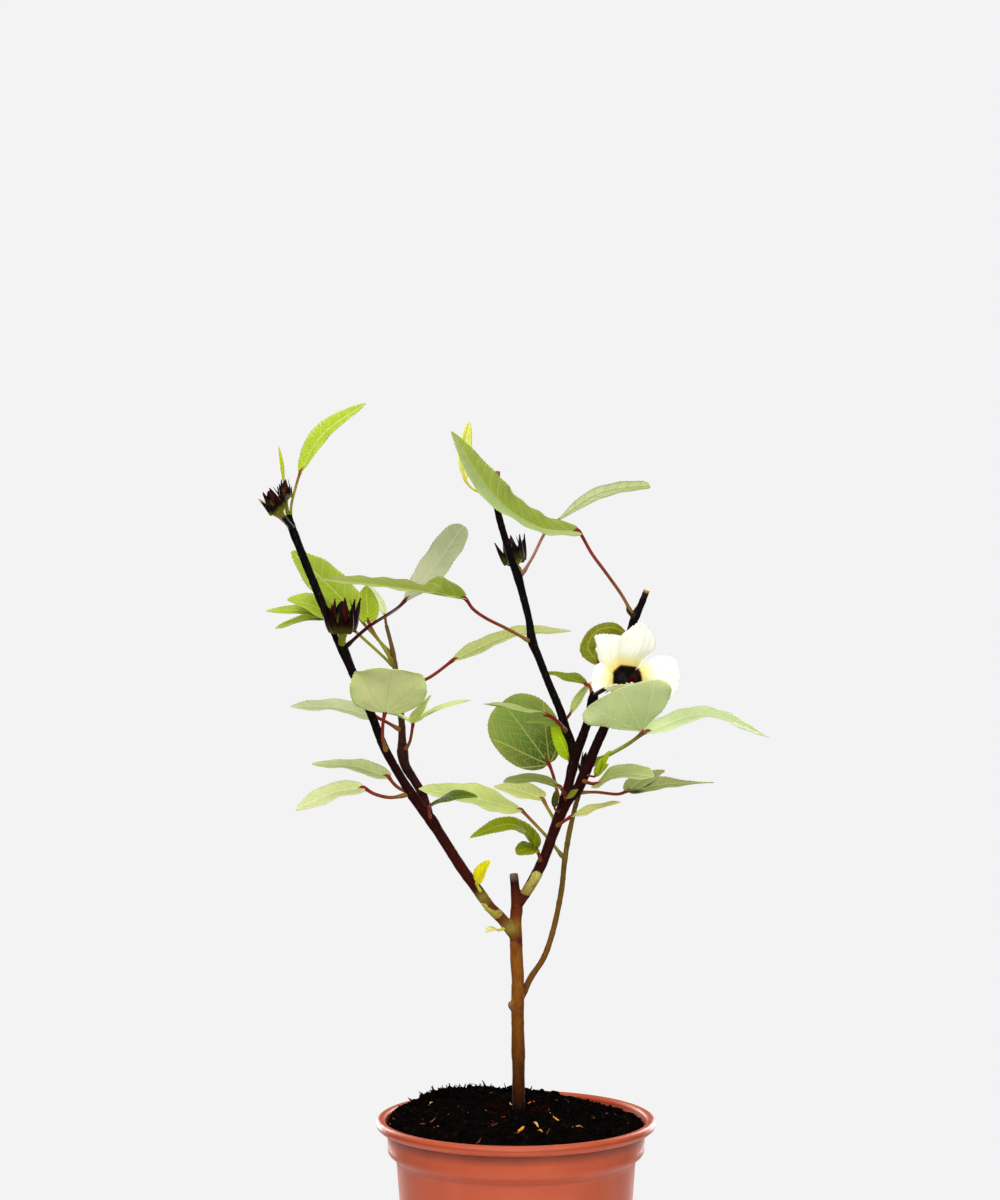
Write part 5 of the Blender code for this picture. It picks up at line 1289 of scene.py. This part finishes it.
def make_buds():
    """Closed buds: an olive cup, five pointed calyx lobes and a ring of dark bracts."""
    paint = stalk_paint("bract")
    for name, (stalk, tip, radius, bracts) in BUDS.items():
        shape = Shape()
        stalk = places(stalk)
        base = stalk[-1]
        axis = place(*tip) - base
        length = np.linalg.norm(axis)
        heading = axis / length
        right = unit(np.cross(heading, (0, 1, 0.2)))
        up = np.cross(right, heading)

        # The stalk and the cup as one rod
        rows = [np.append(point, 0.3 * radius) for point in spaced(smooth(stalk), BUD_STALK_ROWS)]
        for share, size in BUD_PROFILE:
            rows.append(np.append(base + heading * (share * length + CUP_START), size * radius))
        shares = np.clip((np.arange(len(rows)) - BUD_STALK_ROWS) / len(BUD_PROFILE), 0, 1)
        tint = blend(linear((124, 132, 26)), linear((16, 6, 6)), np.clip(shares * 2.4 - 0.4, 0, 1))
        if name == YOUNG_BUDS[0]:
            tint[:BUD_STALK_ROWS - 1] = linear((16, 8, 8))
        shape.rod(rows, right, 20, tint)

        young = name in YOUNG_BUDS
        foot_tint = (124, 130, 26) if young else (76, 70, 20)
        reach, breadth = (0.50, 1.10) if young else (0.66, 0.86)
        for k in range(SEPALS):
            outward = spoke(right, up, 2 * math.pi * k / SEPALS + 0.6)
            root = base + heading * (0.24 * length + CUP_START) + outward * (0.82 * radius)
            spike(shape, root, unit(heading + outward * 0.10), 0.66 * length, 0.92 * radius,
                  heading * 0.5 - outward * 0.5, ((30, 12, 9), (56, 12, 10)), 0.6, 0.3)
        for k in range(bracts):
            outward = spoke(right, up, 2 * math.pi * k / bracts + 0.3)
            root = base + heading * (0.16 * length + CUP_START) + outward * (0.80 * radius)
            lean = unit(heading + outward * (0.46 + 0.14 * math.sin(2.4 * k)))
            spike(shape, root, lean, (reach + 0.10 * math.sin(5.1 * k)) * length, breadth * radius,
                  heading * 0.6 - outward * 0.25, (foot_tint, (20, 6, 7)), 0.8, 0.5, 0.34 * radius)
        shape.make(name + "_fine", [paint], [name])


def flower_frame():
    """The flower's calyx start, its throat, and its heading with two directions across it."""
    base, throat = place(*CALYX_BASE), place(*EYE_OF_FLOWER)
    heading = unit(throat - base)
    right = unit(np.cross(heading, (0, 0, 1)))
    return base, throat, heading, right, np.cross(right, heading)


def make_calyx():
    """The flower's stalk, calyx cup, calyx lobes and outer bracts."""
    base, throat, heading, right, up = flower_frame()
    shape = Shape()
    stalk = spaced(smooth(places(PEDICEL) + [base]), 26)
    rows = [np.append(point, PEDICEL_RADIUS) for point in stalk]
    depth = np.linalg.norm(throat - base) - CALYX_SHORT
    for share, size in CALYX_PROFILE:
        rows.append(np.append(base + heading * (depth * share), CALYX_RADIUS * size))
    shares = np.clip((np.arange(len(rows)) - 18) / 10, 0, 1)
    shape.rod(rows, right, 24, blend(linear((60, 18, 20)), linear((120, 118, 46)), shares))
    for k in range(SEPALS + BRACTS):
        lobe = k < SEPALS
        outward = spoke(right, up, 2 * math.pi * (k / SEPALS if lobe else (k - SEPALS + 0.4) / BRACTS))
        root = base + heading * (depth * (0.55 if lobe else 0.25)) + outward * (CALYX_RADIUS * 0.7)
        length, width = (11, 6.0) if lobe else (10, 2.2)
        spike(shape, root, unit(outward - heading * 0.15), length, width, heading * -0.3,
              ((120, 118, 50), (90, 40, 30)))
    shape.make("flower_calyx_fine", [stalk_paint("calyx")], ["flower_calyx"])


def petal_side(start, points):
    """A side of a petal, from near the throat to its tip."""
    points = places(points)
    foot = start * (1 - PETAL_FOOT) + points[0] * PETAL_FOOT
    return spaced(smooth([foot] + points), PETAL_ROWS)


def make_petals():
    """Five broad petals that overlap in a ring, fluted and frilled, with a dark eye."""
    _, throat, heading, right, up = flower_frame()
    start = throat - heading * PETAL_START
    shape = Shape()
    ahead = unit(np.array(EYE_FACES))
    disc = np.array([[*(start + ahead * along), size] for along, size in EYE_LOOPS])
    shape.skin(tube(disc, right, 32), place=(0, 1, 0))
    t = np.linspace(0, 1, PETAL_ROWS)[:, None]
    side = np.linspace(-1, 1, PETAL_COLUMNS)[None, :]
    for number, (near, far, crown, bulge) in enumerate(PETALS):
        one, two = petal_side(start, near), petal_side(start, far)
        top = blend(one[:, None], two[:, None], (side + 1) / 2)
        middles = (one + two) / 2
        headings = directions(middles)
        ups = unit(np.cross(unit(two - one), headings))
        ups = ups * np.sign(ups @ (heading + up * 0.5))[:, None]
        half = np.linalg.norm(two - one, axis=1)[:, None] / 2
        lift = bulge * (1 - side ** 2) * np.sin(math.pi * np.clip(t * 1.05, 0, 1)) ** 0.8
        lift = lift + half * 0.05 * np.sin(5.5 * side + 2.4 * number) * t
        lift = lift + 0.45 * np.sin(19 * side + number) * t ** 4
        beyond = crown * (1 - side ** 2) * t ** 4 + 0.5 * np.sin(21 * side + 2 * number) * t ** 8
        top = top + ups[:, None] * lift[..., None] + headings[:, None] * beyond[..., None]
        low = top - ups[:, None] * 0.4
        reach = np.linalg.norm(top - start, axis=2)
        spot = np.stack([half * side, reach, t * travelled(middles)[-1] + 0 * side], -1)
        shape.skin(around(top, low), place=around(spot, spot))
    shape.make("flower_petals_fine", [petal_paint()], ["flower_petals"])


def make_column():
    """The stamen column with its anthers on short filaments and a five-parted stigma."""
    _, throat, heading, right, up = flower_frame()
    start = throat - heading * COLUMN_START
    across = up + right * 0.1
    shape = Shape()
    rows = [[*(start + heading * along), size] for along, size in COLUMN]
    shape.rod(smooth(rows, 5), right, 14, linear((50, 6, 8)))
    draw = random.Random(3)
    for k in range(ANTHERS):
        outward = spoke(right, up, 2.4 * k)
        root = start + heading * (2.0 + 0.26 * k) + outward * 0.6
        tip = root + unit(outward + heading * 0.3) * draw.uniform(1.3, 2.0)
        shape.rod([[*root, 0.16], [*((root + tip) / 2), 0.14], [*tip, 0.14]], across, 6, linear((80, 10, 10)))
        crumb(shape, tip, 0.5, draw, linear(draw.choice(((90, 16, 10), (60, 8, 8), (110, 30, 14)))))
    root = start + heading * (COLUMN[-1][0] - 0.5)
    for k in range(STIGMA_PARTS):
        tip = root + heading * 1.2 + spoke(right, up, 2 * math.pi * k / STIGMA_PARTS) * 1.2
        shape.rod([[*root, 0.3], [*tip, 0.3]], across, 6, linear((70, 8, 12)))
        crumb(shape, tip, 0.5, draw, linear((90, 12, 16)))
    shape.make("flower_column_fine", [stalk_paint("column")], ["flower_column"])


def add_light(name, spot, target, size, power):
    """A soft light that looks at a target."""
    light = bpy.data.lights.new(name, "AREA")
    light.shape = "RECTANGLE"
    light.size, light.size_y = size
    light.energy = power
    thing = add_object(name, light)
    thing.location = spot
    thing.rotation_euler = (Vector(target) - Vector(spot)).to_track_quat("-Z", "Y").to_euler()


def make_studio():
    """The camera, the pale world and floor, and the soft lights."""
    scene = bpy.context.scene
    scene.view_settings.view_transform = "Standard"
    camera = add_object("camera", bpy.data.cameras.new("camera"))
    camera.data.lens = LENS
    camera.data.sensor_width = SENSOR
    camera.location = (EYE_X * MM, -EYE_DISTANCE * MM, EYE_Z * MM)
    camera.rotation_euler = (math.radians(90), 0, 0)
    scene.camera = camera
    scene.world = bpy.data.worlds.new("studio")
    scene.world.use_nodes = True
    tree = scene.world.node_tree
    background = tree.nodes["Background"]
    background.inputs["Color"].default_value = (*linear(BACKDROP), 1.0)
    ray = Field(tree, tree.nodes.new("ShaderNodeLightPath").outputs["Is Camera Ray"])
    wire(tree, ray * (1 - AMBIENT) + AMBIENT, background.inputs["Strength"])
    for name, settings in LIGHTS.items():
        add_light(name, *settings)
    make_floor()


def make_floor():
    """A disc that takes soft shadows near the pot and fades into the backdrop."""
    angles = 2 * math.pi * np.arange(FLOOR_SIDES) / FLOOR_SIDES
    ring = np.array([(*on_circle(FLOOR_RADIUS, angle), 0) for angle in angles])
    floor = add_mesh("floor", ring, [list(range(FLOOR_SIDES))])
    paint = Paint("floor", 0.5)
    paint.shader.inputs["Base Color"].default_value = (0.8, 0.8, 0.8, 1)
    paint.shader.inputs["Roughness"].default_value = 0.9
    glow = paint.node("Emission", {"Color": (*linear(BACKDROP), 1.0)})
    far = paint.node("VectorMath", {0: paint.where()}, output=1, operation="LENGTH")
    share = far.between(FADE_START, FADE_END).math("POWER", 0.6)
    plain = Field(paint.tree, paint.shader.outputs[0])
    mixed = paint.node("MixShader", {0: share, 1: plain, 2: glow})
    wire(paint.tree, mixed, paint.tree.nodes["Material Output"].inputs["Surface"])
    floor.data.materials.append(paint.material)


make_studio()
make_pot()
make_soil()
make_litter()
make_stem()
make_leaves()
make_buds()
make_calyx()
make_petals()
make_column()

bpy.context.view_layer.update()
